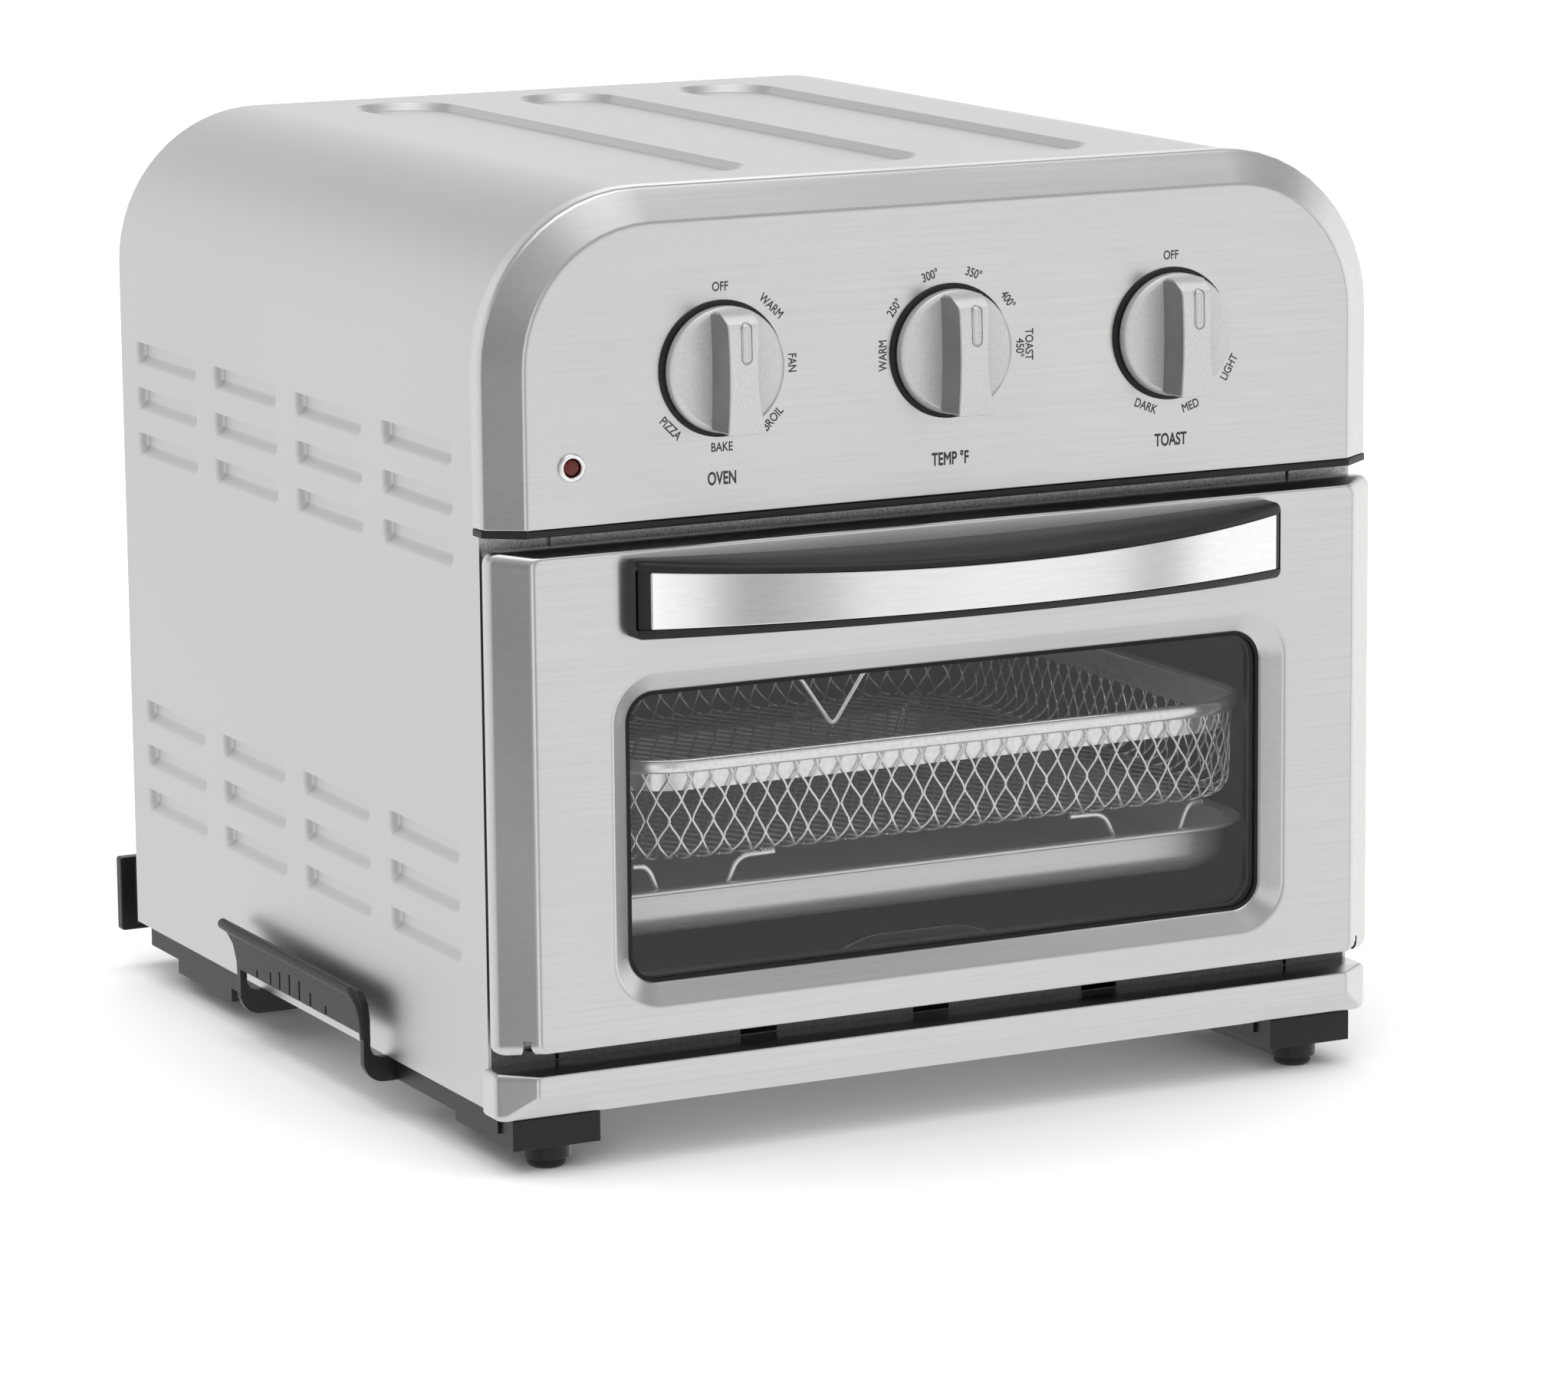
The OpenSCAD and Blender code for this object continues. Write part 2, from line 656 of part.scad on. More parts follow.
// The handle's outline seen from the front, slimmed towards its middle by slim
module handle_face(half, low, high, slim) {
    steps = 24;
    xs = [for (i = [0:steps]) half * (2 * i / steps - 1)];
    under = [for (x = xs) [x, low + slim * (1 - x * x / half / half)]];
    over = [for (x = xs) [-x, high - slim * (1 - x * x / half / half)]];
    polygon(concat(under, over));
}

module door_handle() color([0.07, 0.07, 0.07]) difference() {
    intersection() {
        translate([0, 0, handle_bottom]) linear_extrude(handle_top - handle_bottom)
            handle_plan(0, handle_half, -door_proud);
        slab(-80, 0) handle_face(handle_half, handle_bottom, handle_top, 2.9);
    }
    translate([0, 0, handle_bottom - 1]) linear_extrude(187.5 - handle_bottom + 1)
        handle_plan(9, handle_half - 20, 0);
    plate_form(1, -2, 0);
    for (s = [-1, 1]) rod_y(2, s * handle_screw_x, handle_screw_z, -29, 0);
}

// The band of the handle's face between two insets from its bowed front
module plate_form(deep, shallow, shrink) {
    intersection() {
        translate([0, 0, handle_bottom]) linear_extrude(30) difference() {
            handle_plan(shallow, handle_half - 3 - shrink, 0);
            handle_plan(deep, handle_half, 5);
        }
        slab(-80, -15) handle_face(handle_half - 3, handle_bottom + 3.4 + shrink, handle_top - 3.2 - shrink, 2.2);
    }
}

module handle_plate() color([0.85, 0.85, 0.85]) plate_form(1, 0.3, 0.1);

module handle_screws() color([0.7, 0.7, 0.7]) for (s = [-1, 1]) {
    rod_y(2, s * handle_screw_x, handle_screw_z, -28, -door_proud + 1);
    rod_y(3.8, s * handle_screw_x, handle_screw_z, -door_proud + 1, -door_proud + 3.4);
}

module hinge_blocks() color([0.6, 0.6, 0.6]) both() difference() {
    box([139, -17.6, 41.8], [142.5, -door_back - 1, 50.5]);
    rod_x(pin_r, hinge_y, hinge_z, 130, 150);
}

module hinge_pins() color([0.75, 0.75, 0.75]) both() rod_x(pin_r, hinge_y, hinge_z, 139, 151);

module hinge_springs() color([0.6, 0.6, 0.6]) both() for (i = [0:2])
    translate([143.6 + i * 1.5, hinge_y, hinge_z]) rotate([0, 90, 0]) rotate_extrude()
        translate([3, 0]) circle(0.7);

module hinge_brackets() color([0.65, 0.65, 0.65]) both() difference() {
    union() {
        rod_x(4, hinge_y, hinge_z, bracket_x, bracket_x + bracket_t);
        box([bracket_x, hinge_y, hinge_z - 4], [bracket_x + bracket_t, 0, hinge_z + 4]);
    }
    rod_x(pin_r + pin_clear, hinge_y, hinge_z, bracket_x - 1, bracket_x + 3);
}

// ---------------------------------------------------------------- accessories

module crumb_tray() color([0.6, 0.6, 0.6]) {
    low = cavity_floor + 0.9;
    box([-126, 10, low], [126, 255, low + 0.8]);
    box([-126, 10, low], [126, 10.8, low + 3.4]);
    box([-30, 10, low], [30, 10.8, low + 7.6]);
    box([-126, 254.2, low], [126, 255, low + 3]);
    for (s = [-1, 1]) box([s * 125.6 - 0.4, 10, low], [s * 125.6 + 0.4, 255, low + 3]);
}

// A flat plate with rounded corners between two heights, spanning the given Y range
module tray_slab(half, y0, y1, r, z0, z1) {
    translate([0, (y0 + y1) / 2, z0]) linear_extrude(z1 - z0) rounded_rect(2 * half, y1 - y0, r);
}

module baking_pan() color([0.75, 0.75, 0.75]) {
    wall = pan_w / 2 - 6.5;
    difference() {
        union() {
            tray_slab(wall, pan_front + 4, pan_back - 4, 22, pan_floor_z, pan_rim_z);
            tray_slab(pan_w / 2, pan_front, pan_back, 26, pan_rim_z - 0.9, pan_rim_z);
        }
        tray_slab(wall - 0.8, pan_front + 4.8, pan_back - 4.8, 21.2, pan_floor_z + 0.8, pan_rim_z + 1);
    }
}

module basket() color([0.7, 0.7, 0.7]) translate([basket_shift, 0, 0]) {
    difference() {
        union() {
            tray_slab(basket_half - 2.5, basket_front + 2.5, basket_back - 2.5, 28, basket_floor_z, basket_rim_z);
            tray_slab(basket_half, basket_front, basket_back, 30, basket_rim_z - 3.5, basket_rim_z);
        }
        tray_slab(basket_half - 3.5, basket_front + 3.5, basket_back - 3.5, 27, basket_floor_z + 1, basket_rim_z + 1);
    }
}

// Four bent wire feet that stand on the pan floor
module basket_feet() color([0.8, 0.8, 0.8]) {
    low = pan_floor_z + 0.8;
    high = basket_floor_z;
    translate([basket_shift, 0, 0]) both() for (y = [14, 214]) slab(y - 1.2, y + 1.2) {
        difference() {
            polygon([[65, high], [75, low], [92, low], [100, high]]);
            polygon([[67.6, high + 1], [76.6, low + 2.3], [90.4, low + 2.3], [97.4, high + 1]]);
        }
        translate([54, high - 2.2]) square([13, 2.2]);
    }
}

// ---------------------------------------------------------------- rear

module rear_spacers() color([0.07, 0.07, 0.07]) both() {
    box([-150, body_d, 16], [-130, body_d + spacer_reach - 4, 37]);
    box([-156, body_d + spacer_reach - 4, 13.3], [-124, body_d + spacer_reach, 39.7]);
}

module cord_gland() color([0.07, 0.07, 0.07]) difference() {
    union() {
        rod_y(6.95, 112, 60, body_d - 3, body_d);
        rod_y(9.5, 112, 60, body_d, body_d + 3);
        rod_y(6.5, 112, 60, body_d + 3, body_d + 9);
    }
    rod_y(3.6, 112, 60, body_d - 4, body_d + 10);
}

place() outer_shell();
place() rear_panel();
place() base_plate();
place() base_rail_left();
place() base_rail_right();
place() foot_pads();
place() front_frame();
place() control_panel();
place() divider_strip();
place() lower_trim();
place() cavity_wrap();
place() cavity_back();
place() rack_guides();
place() upper_heaters();
place() lower_heaters();
place() heater_insulators();
place() element_hanger();
place() fan_guard();
place() fan_motor();
place() motor_bracket();
place() hot_air_fan();
place() fan_shaft();
place() cooling_fan();
place() function_switch();
place() thermostat();
place() toast_timer();
place() timer_bell();
place() internal_wires();
place() function_shaft();
place() function_knob();
place() function_inlay();
place() temperature_shaft();
place() temperature_knob();
place() temperature_inlay();
place() timer_shaft();
place() timer_knob();
place() timer_inlay();
place() knob_bezels();
place() indicator_bezel();
place() indicator_lens();
place() indicator_lamp();
place() door_panel();
place() door_inner_frame();
place() door_glass();
place() door_gasket();
place() door_handle();
place() handle_plate();
place() handle_screws();
place() hinge_blocks();
place() hinge_pins();
place() hinge_springs();
place() hinge_brackets();
place() crumb_tray();
place() baking_pan();
place() basket();
place() basket_feet();
place() rear_spacers();
place() cord_gland();
place() rear_screws();
place() base_screws();
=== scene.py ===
"""Looks of a countertop toaster oven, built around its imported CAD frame.

Lengths are millimetres in the design's own frame: X to the right seen from the front, Y from the
front edge of the outer shell towards the back, Z up from the table. point() turns them into metres.
"""

import math

import bmesh
import bpy
from mathutils import Matrix, Vector
from mathutils.geometry import delaunay_2d_cdt


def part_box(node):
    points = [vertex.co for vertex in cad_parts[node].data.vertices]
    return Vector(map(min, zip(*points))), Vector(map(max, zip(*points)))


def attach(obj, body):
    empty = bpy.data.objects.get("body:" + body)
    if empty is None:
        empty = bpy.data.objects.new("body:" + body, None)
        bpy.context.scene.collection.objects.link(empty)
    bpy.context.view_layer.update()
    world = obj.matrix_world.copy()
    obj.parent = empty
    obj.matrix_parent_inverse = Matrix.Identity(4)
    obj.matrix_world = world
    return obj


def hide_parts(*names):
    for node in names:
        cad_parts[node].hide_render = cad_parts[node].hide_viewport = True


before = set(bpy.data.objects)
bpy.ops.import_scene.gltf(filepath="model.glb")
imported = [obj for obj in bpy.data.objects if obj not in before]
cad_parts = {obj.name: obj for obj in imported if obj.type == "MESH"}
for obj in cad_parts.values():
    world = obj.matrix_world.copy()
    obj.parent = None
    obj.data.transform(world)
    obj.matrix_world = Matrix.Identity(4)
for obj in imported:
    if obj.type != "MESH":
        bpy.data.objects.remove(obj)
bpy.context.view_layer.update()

MM = 0.001
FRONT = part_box("outer_shell")[0][1]


def point(x, y, z):
    """A place in the design's frame, in millimetres, as metres in the row frame."""
    return Vector((x * MM, FRONT + y * MM, z * MM))


def cad_box(node):
    """Lowest and highest corner of a CAD node, in millimetres in the design's frame."""
    lo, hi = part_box(node)
    shift = Vector((0, FRONT, 0))
    return (lo - shift) / MM, (hi - shift) / MM


# ---------------------------------------------------------------- sizes read from the frame

SHELL_LO, SHELL_HI = cad_box("outer_shell")
PANEL_LO, PANEL_HI = cad_box("control_panel")
TRIM_LO, TRIM_HI = cad_box("lower_trim")
DOOR_LO, DOOR_HI = cad_box("door_panel")
HANDLE_LO, HANDLE_HI = cad_box("door_handle")
PAN_LO, PAN_HI = cad_box("baking_pan")
BASKET_LO, BASKET_HI = cad_box("basket")
TRAY_LO, TRAY_HI = cad_box("crumb_tray")
FOOT_LO, FOOT_HI = cad_box("basket_feet")

SHELL_HALF = SHELL_HI.x
SHELL_DEPTH = SHELL_HI.y
SHELL_TOP = SHELL_HI.z
SHELL_BOTTOM = SHELL_LO.z
CORNER_R = 52
SHEET = 1

FLAT_HALF = 146.4
BEVEL = PANEL_HI.x - FLAT_HALF
KNOB_Z = 250
KNOB_X = {"function": -80, "temperature": 0, "timer": 80}
LAMP_X, LAMP_Z = -131.3, 222.9

WINDOW_HALF = 113.5
WINDOW_LOW = 58.4
WINDOW_HIGH = 150.6
WINDOW_R = 9.5
SCREW_X, SCREW_Z = 104, 182
BRACKET_X = 148.75
FOOT_X, FOOT_YS = 136.3, (1.2, 288)


# ---------------------------------------------------------------- mesh helpers

def put_in_scene(name, data):
    """A new object that shows the data."""
    obj = bpy.data.objects.new(name, data)
    bpy.context.scene.collection.objects.link(obj)
    return obj


def add_mesh(name, verts, faces, inside=None):
    """A smooth mesh object; its faces turn away from the point inside, where one is given."""
    bm = bmesh.new()
    made = [bm.verts.new(point(*v)) for v in verts]
    for face in faces:
        if len(set(face)) > 2:
            bm.faces.new([made[i] for i in dict.fromkeys(face)])
    bmesh.ops.remove_doubles(bm, verts=bm.verts, dist=0.005 * MM)
    bmesh.ops.recalc_face_normals(bm, faces=bm.faces)
    if inside is not None:
        centre = point(*inside)
        facing = sum((f.calc_center_median() - centre).dot(f.normal) * f.calc_area() for f in bm.faces)
        if facing < 0:
            bmesh.ops.reverse_faces(bm, faces=bm.faces)
    mesh = bpy.data.meshes.new(name)
    bm.to_mesh(mesh)
    bm.free()
    return put_in_scene(name, mesh)


def join_parts(parts):
    """Several (verts, faces) pairs as one."""
    verts, faces = [], []
    for part_verts, part_faces in parts:
        base = len(verts)
        verts.extend(part_verts)
        faces.extend([tuple(base + i for i in f) for f in part_faces])
    return verts, faces


def apply_modifiers(obj):
    """Makes the modifiers' result the object's own mesh."""
    graph = bpy.context.evaluated_depsgraph_get()
    obj.data = bpy.data.meshes.new_from_object(obj.evaluated_get(graph))
    obj.modifiers.clear()


def dress(obj, body, slot, replaces=(), sheet=0, bevel=0, crease=32, segments=3, slots=()):
    """Gives a new piece its sheet thickness, slots, rounded edges, the material named by slot, shading and
    body.
    """
    obj.data.materials.clear()
    obj.data.materials.append(MATERIALS[slot])
    if sheet:
        solid = obj.modifiers.new("sheet", "SOLIDIFY")
        solid.thickness = sheet * MM
        solid.offset = -1
    if slots:
        cutter = add_mesh("slot_cutter", *join_parts(slots))
        cut = obj.modifiers.new("slots", "BOOLEAN")
        cut.operation = "DIFFERENCE"
        cut.object = cutter
    if bevel:
        edge = obj.modifiers.new("edges", "BEVEL")
        edge.width = bevel * MM
        edge.segments = segments
        edge.limit_method = "ANGLE"
        edge.angle_limit = math.radians(40)
    if sheet or bevel:
        apply_modifiers(obj)
    if slots:
        bpy.data.objects.remove(cutter)
    obj.data.polygons.foreach_set("use_smooth", [True] * len(obj.data.polygons))
    obj.data.set_sharp_from_angle(angle=math.radians(crease))
    weigh = obj.modifiers.new("normals", "WEIGHTED_NORMAL")
    weigh.keep_sharp = True
    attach(obj, body)
    if replaces:
        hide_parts(*replaces)
    return obj


def ease(t):
    """A soft step from 0 to 1."""
    t = min(1, max(0, t))
    return t * t * (3 - 2 * t)


def soften(rows, reach, steps=4):
    """A polyline of number rows with each inner corner rounded over at most reach each way."""
    out = [tuple(rows[0])]
    for a, b, c in zip(rows, rows[1:], rows[2:]):
        near = min(0.5, reach / max(math.dist(a, b), 1e-6))
        far = min(0.5, reach / max(math.dist(b, c), 1e-6))
        p = [v + (u - v) * near for u, v in zip(a, b)]
        q = [v + (w - v) * far for v, w in zip(b, c)]
        for i in range(steps + 1):
            t = i / steps
            out.append(tuple((1 - t) ** 2 * u + 2 * t * (1 - t) * v + t * t * w
                             for u, v, w in zip(p, b, q)))
    out.append(tuple(rows[-1]))
    return out


def outline(half, low, high, r_low, r_high, steps=12):
    """Closed outline in X and Z with rounded lower and upper corners."""
    corners = [(half - r_high, high - r_high, r_high, 0), (-half + r_high, high - r_high, r_high, 90),
               (-half + r_low, low + r_low, r_low, 180), (half - r_low, low + r_low, r_low, 270)]
    return [(cx + r * math.cos(math.radians(start + 90 * i / steps)),
             cz + r * math.sin(math.radians(start + 90 * i / steps)))
            for cx, cz, r, start in corners for i in range(steps + 1)]


def loft(loops, closed=True):
    """Quads between loops of points that have the same count."""
    count = len(loops[0])
    verts = [tuple(p) for loop in loops for p in loop]
    faces = []
    for k in range(len(loops) - 1):
        for i in range(count if closed else count - 1):
            j = (i + 1) % count
            faces.append((k * count + i, k * count + j, (k + 1) * count + j, (k + 1) * count + i))
    return verts, faces


def capped(loops):
    """A loft between loops with both of its ends closed."""
    verts, faces = loft(loops)
    count = len(loops[0])
    return verts, faces + [tuple(range(count)), tuple(range(len(verts) - count, len(verts)))]


def floored(loops):
    """A loft between loops with its last loop closed."""
    verts, faces = loft(loops)
    return verts, faces + [tuple(range(len(verts) - len(loops[-1]), len(verts)))]


def is_within(p, ring):
    """Whether a flat point lies inside a closed ring of points."""
    hit = False
    for (ax, ay), (bx, by) in zip(ring, ring[1:] + ring[:1]):
        if (ay > p[1]) != (by > p[1]) and p[0] < (bx - ax) * (p[1] - ay) / (by - ay) + ax:
            hit = not hit
    return hit


def flat_fill(outer, holes, place):
    """Triangles between a flat outline and its holes; place turns a flat point into X, Y, Z."""
    rings = [outer, *holes]
    flat, edges = [], []
    for ring in rings:
        base = len(flat)
        flat.extend(ring)
        edges.extend((base + i, base + (i + 1) % len(ring)) for i in range(len(ring)))
    points, _, faces, *_ = delaunay_2d_cdt([Vector(p) for p in flat], edges, [], 0, 1e-5)
    kept = []
    for face in faces:
        middle = [sum(points[i][k] for i in face) / len(face) for k in (0, 1)]
        if is_within(middle, outer) and not any(is_within(middle, hole) for hole in holes):
            kept.append(tuple(face))
    return [place(p[0], p[1]) for p in points], kept


def prism(ring, low, high, place):
    """A flat outline drawn out from low to high; place turns its two numbers and a third into X, Y, Z."""
    ends = [flat_fill(ring, [], lambda a, b, far=far: place(a, b, far)) for far in (low, high)]
    walls = loft([[place(a, b, far) for a, b in ring] for far in (low, high)])
    return join_parts([walls, *ends])


def block(x0, x1, y0, y1, z0, z1, side=1):
    """A plain box between two corners, mirrored in X where side is -1."""
    return prism([(x0, y0), (x1, y0), (x1, y1), (x0, y1)], z0, z1, lambda x, y, z: (side * x, y, z))


def circle(cx, cz, r, steps=40):
    return [(cx + r * math.cos(2 * math.pi * i / steps), cz + r * math.sin(2 * math.pi * i / steps))
            for i in range(steps)]


def lathe(profile, x, z, steps=64):
    """Turns (radius, y) rows about an axis along Y through x, z."""
    loops = [[(x + r * math.cos(2 * math.pi * i / steps), y, z + r * math.sin(2 * math.pi * i / steps))
              for i in range(steps)] for r, y in profile]
    return loft(loops)


def tube(path, r, sides=6, closed=False):
    """A round wire along a path, its rings carried along without twist."""
    points = [Vector(p) for p in path]
    count = len(points)
    angles = [2 * math.pi * k / sides for k in range(sides)]
    loops = []
    guide = None
    for i, p in enumerate(points):
        before = points[i - 1] if closed or i > 0 else p
        after = points[(i + 1) % count] if closed or i < count - 1 else p
        along = (after - before).normalized()
        if guide is None:
            guide = along.orthogonal().normalized()
        guide = (guide - along * guide.dot(along)).normalized()
        side = along.cross(guide)
        loops.append([p + r * (math.cos(a) * guide + math.sin(a) * side) for a in angles])
    if not closed:
        return capped(loops)
    verts, faces = loft(loops)
    last = (count - 1) * sides
    shift = min(range(sides), key=lambda k: (loops[0][k] - loops[-1][0]).length)
    for i in range(sides):
        j = (i + 1) % sides
        faces.append((last + i, last + j, (j + shift) % sides, (i + shift) % sides))
    return verts, faces


# ---------------------------------------------------------------- materials

def wire(tree, kind, output, inputs=None, **settings):
    """Adds a shader node with its settings, sets or links its inputs, and gives the named output."""
    made = tree.nodes.new("ShaderNode" + kind)
    for name, value in settings.items():
        setattr(made, name, value)
    for socket, value in (inputs or {}).items():
        if isinstance(value, bpy.types.NodeSocket):
            tree.links.new(value, made.inputs[socket])
        else:
            made.inputs[socket].default_value = value
    return made.outputs[output]


def colour_ramp(tree, signal, stops, interpolation="LINEAR"):
    """Colours a signal by a ramp of (position, colour) stops."""
    made = tree.nodes.new("ShaderNodeValToRGB")
    made.color_ramp.interpolation = interpolation
    elements = made.color_ramp.elements
    elements.remove(elements[-1])
    elements[0].position, elements[0].color = stops[0][0], (*stops[0][1], 1)
    for position, colour in stops[1:]:
        elements.new(position).color = (*colour, 1)
    tree.links.new(signal, made.inputs["Fac"])
    return made.outputs["Color"]


class Surface:
    """A Principled material with short calls for the grain, tint and bump of its surface."""

    def __init__(self, name, colour, metallic, roughness, **constants):
        self.material = bpy.data.materials.new(name)
        self.material.use_nodes = True
        self.tree = self.material.node_tree
        self.sockets = self.tree.nodes["Principled BSDF"].inputs
        self.relief = None
        plain = {"Base Color": (*colour, 1), "Metallic": metallic, "Roughness": roughness}
        for socket, value in {**plain, **constants}.items():
            self.sockets[socket.replace("_", " ")].default_value = value

    def mapped(self, per_metre):
        where = wire(self.tree, "TexCoord", "Object")
        return wire(self.tree, "Mapping", "Vector", {"Vector": where, "Scale": per_metre})

    def noise(self, per_metre, detail=2.0):
        """Noise with that many cells per metre along X, Y and Z."""
        inputs = {"Vector": self.mapped(per_metre), "Scale": 1, "Detail": detail}
        return wire(self.tree, "TexNoise", "Fac", inputs)

    def cells(self, per_metre):
        """A random grey for each cell of a Voronoi pattern."""
        return wire(self.tree, "TexVoronoi", "Color", {"Vector": self.mapped(per_metre), "Scale": 1})

    def spread(self, signal, low, high):
        """Varies the roughness from low to high over the middle range of a signal."""
        reach = {"Value": signal, "From Min": 0.3, "From Max": 0.7, "To Min": low, "To Max": high}
        self.tree.links.new(wire(self.tree, "MapRange", "Result", reach), self.sockets["Roughness"])

    def tint(self, signal, dark, light, start=0.3, end=0.7):
        """Colours the surface between two colours by a signal."""
        colour = colour_ramp(self.tree, signal, [(start, dark), (end, light)])
        self.tree.links.new(colour, self.sockets["Base Color"])

    def paint_shade_below(self, low, high, share):
        """Paints shade: dims the tint to a share of itself below a height, fading between low and high
        millimetres.
        """
        where = wire(self.tree, "TexCoord", "Object")
        height = wire(self.tree, "SeparateXYZ", "Z", {"Vector": where})
        reach = {"Value": height, "From Min": low * MM, "From Max": high * MM, "To Min": share}
        fade = wire(self.tree, "MapRange", "Result", reach)
        colour = self.sockets["Base Color"].links[0].from_socket
        dimmed = wire(self.tree, "VectorMath", "Vector", {0: colour, "Scale": fade}, operation="SCALE")
        self.tree.links.new(dimmed, self.sockets["Base Color"])

    def bump(self, signal, height, strength=0.5):
        """Adds relief of that height in millimetres."""
        inputs = {"Height": signal, "Strength": strength, "Distance": height * MM}
        if self.relief is not None:
            inputs["Normal"] = self.relief
        self.relief = wire(self.tree, "Bump", "Normal", inputs)
        self.tree.links.new(self.relief, self.sockets["Normal"])

    def tangent_along_x(self):
        """Stretches highlights across a grain that runs level round the body."""
        tangent = wire(self.tree, "Tangent", "Tangent", direction_type="RADIAL", axis="Z")
        self.tree.links.new(tangent, self.sockets["Tangent"])


def grey(value, warm=0.0):
    """A linear grey, a little warmer where warm is above 0."""
    return (value * (1 + warm), value, value * (1 - warm))


def brushed(name, base, rough, grain):
    """Brushed sheet: long fine scratches that run level, soft broad streaks, and faint smears."""
    steel = Surface(name, grey(base), 1.0, rough, Anisotropic_Rotation=0.25)
    fine = steel.noise((40, 1500, 2600), 3)
    streaks = steel.noise((22, 500, 900), 4)
    smears = steel.noise((14, 14, 14), 2)
    steel.tint(streaks, grey(base * (1 - grain), 0.006), grey(base * (1 + grain), 0.006))
    steel.spread(smears, rough - 0.03, rough + 0.04)
    steel.bump(fine, 0.012, 0.35)
    steel.tangent_along_x()
    return steel


def make_front_steel():
    steel = brushed("front steel", 0.62, 0.26, 0.025)
    steel.sockets["Anisotropic"].default_value = 0.5
    return steel


def make_handle_steel():
    steel = brushed("handle steel", 0.82, 0.2, 0.03)
    steel.sockets["Anisotropic"].default_value = 0.6
    return steel


def make_shell_steel():
    steel = Surface("shell steel", grey(0.62, 0.004), 1.0, 0.42)
    clouds = steel.noise((5, 5, 5), 2)
    grain = steel.noise((2600, 2600, 2600), 3)
    steel.tint(clouds, grey(0.612, 0.004), grey(0.628, 0.004))
    steel.spread(grain, 0.4, 0.44)
    steel.bump(grain, 0.002, 0.1)
    return steel


def make_galvanised_steel():
    zinc = Surface("galvanised steel", grey(0.42), 1.0, 0.45)
    spangle = zinc.cells((150, 150, 150))
    zinc.tint(spangle, grey(0.36, -0.01), grey(0.46, -0.01), 0, 1)
    zinc.spread(spangle, 0.36, 0.52)
    zinc.bump(zinc.noise((700, 700, 700), 3), 0.02, 0.2)
    return zinc


def make_frame_steel():
    """Speckled grey paint of the sheet behind the door, dimmed low down by painted shade."""
    paint = Surface("speckled front frame", grey(0.6), 0.5, 0.4)
    speckle = paint.noise((1700, 1700, 1700), 2)
    paint.tint(speckle, grey(0.36), grey(0.75))
    # Painted shade: the frame seen in the gap under the door is dimmed below 45 to 60 mm, where the door
    # shades it.
    paint.paint_shade_below(45, 60, 0.16)
    paint.bump(speckle, 0.05, 0.5)
    return paint


def moulded(name, base, rough, height=0.06, cells=1400, spread=0.05, **constants):
    """Moulded plastic with a fine leather-like texture."""
    plastic = Surface(name, grey(base), 0.0, rough, **constants)
    grain = plastic.noise((cells, cells, cells), 2)
    wear = plastic.noise((40, 40, 40), 3)
    plastic.tint(wear, grey(base * 0.85), grey(base * 1.15))
    plastic.spread(grain, rough - spread, rough + spread)
    plastic.bump(grain, height, 0.45)
    return plastic


def make_cavity_steel():
    steel = Surface("cavity steel", grey(0.08), 0.9, 0.42)
    stain = steel.noise((22, 22, 22), 4)
    steel.tint(stain, grey(0.055, 0.02), grey(0.1, 0.01))
    steel.spread(stain, 0.34, 0.5)
    steel.bump(steel.noise((500, 500, 500), 3), 0.02, 0.25)
    return steel


def make_heater_sheath():
    sheath = Surface("heater sheath", grey(0.2, 0.05), 0.9, 0.36)
    heat = sheath.noise((45, 160, 160), 4)
    sheath.tint(heat, (0.13, 0.12, 0.1), (0.3, 0.28, 0.23))
    sheath.spread(heat, 0.28, 0.48)
    return sheath


def make_ceramic():
    ceramic = Surface("steatite", (0.8, 0.77, 0.7), 0.0, 0.6)
    pores = ceramic.noise((900, 900, 900), 3)
    ceramic.tint(pores, (0.72, 0.69, 0.62), (0.86, 0.83, 0.76))
    ceramic.bump(pores, 0.05, 0.4)
    return ceramic


def polished(name, base, rough, stretch=(600, 600, 600), warm=0.0, metallic=1.0):
    """Bright metal with faint drawing marks."""
    metal = Surface(name, grey(base, warm), metallic, rough)
    marks = metal.noise(stretch, 3)
    metal.tint(marks, grey(base * 0.93, warm), grey(min(1, base * 1.06), warm))
    metal.spread(marks, max(0.03, rough - 0.04), rough + 0.05)
    return metal


def make_motor_iron():
    iron = Surface("motor iron", grey(0.12), 0.7, 0.5)
    layers = iron.noise((20, 20, 2400), 1)
    iron.tint(layers, grey(0.06), grey(0.22, 0.05))
    iron.bump(layers, 0.08, 0.5)
    return iron


def make_wire_sleeve():
    sleeve = Surface("glass fibre sleeve", (0.45, 0.03, 0.02), 0.0, 0.8)
    weave = sleeve.noise((1800, 900, 900), 2)
    sleeve.tint(weave, (0.28, 0.02, 0.015), (0.6, 0.06, 0.04))
    sleeve.bump(weave, 0.1, 0.6)
    return sleeve


def make_knob_silver():
    """Silver paint with fine metal flakes."""
    paint = Surface("silver paint", grey(0.58), 0.55, 0.4)
    flakes = paint.noise((2600, 2600, 2600), 2)
    paint.tint(flakes, grey(0.52), grey(0.65))
    paint.spread(flakes, 0.36, 0.46)
    paint.bump(flakes, 0.012, 0.3)
    return paint


def make_red_lens():
    lens = Surface("red lens", (0.09, 0.005, 0.004), 0.0, 0.14)
    facets = lens.cells((1500, 1500, 1500))
    lens.tint(facets, (0.05, 0.002, 0.002), (0.14, 0.008, 0.006), 0, 1)
    lens.bump(facets, 0.1, 0.4)
    return lens


def make_lamp_glass():
    glass = Surface("lamp glass", (0.8, 0.55, 0.35), 0.0, 0.1, Alpha=0.6)
    glass.tint(glass.noise((700, 700, 700), 2), (0.7, 0.45, 0.28), (0.85, 0.62, 0.42))
    return glass


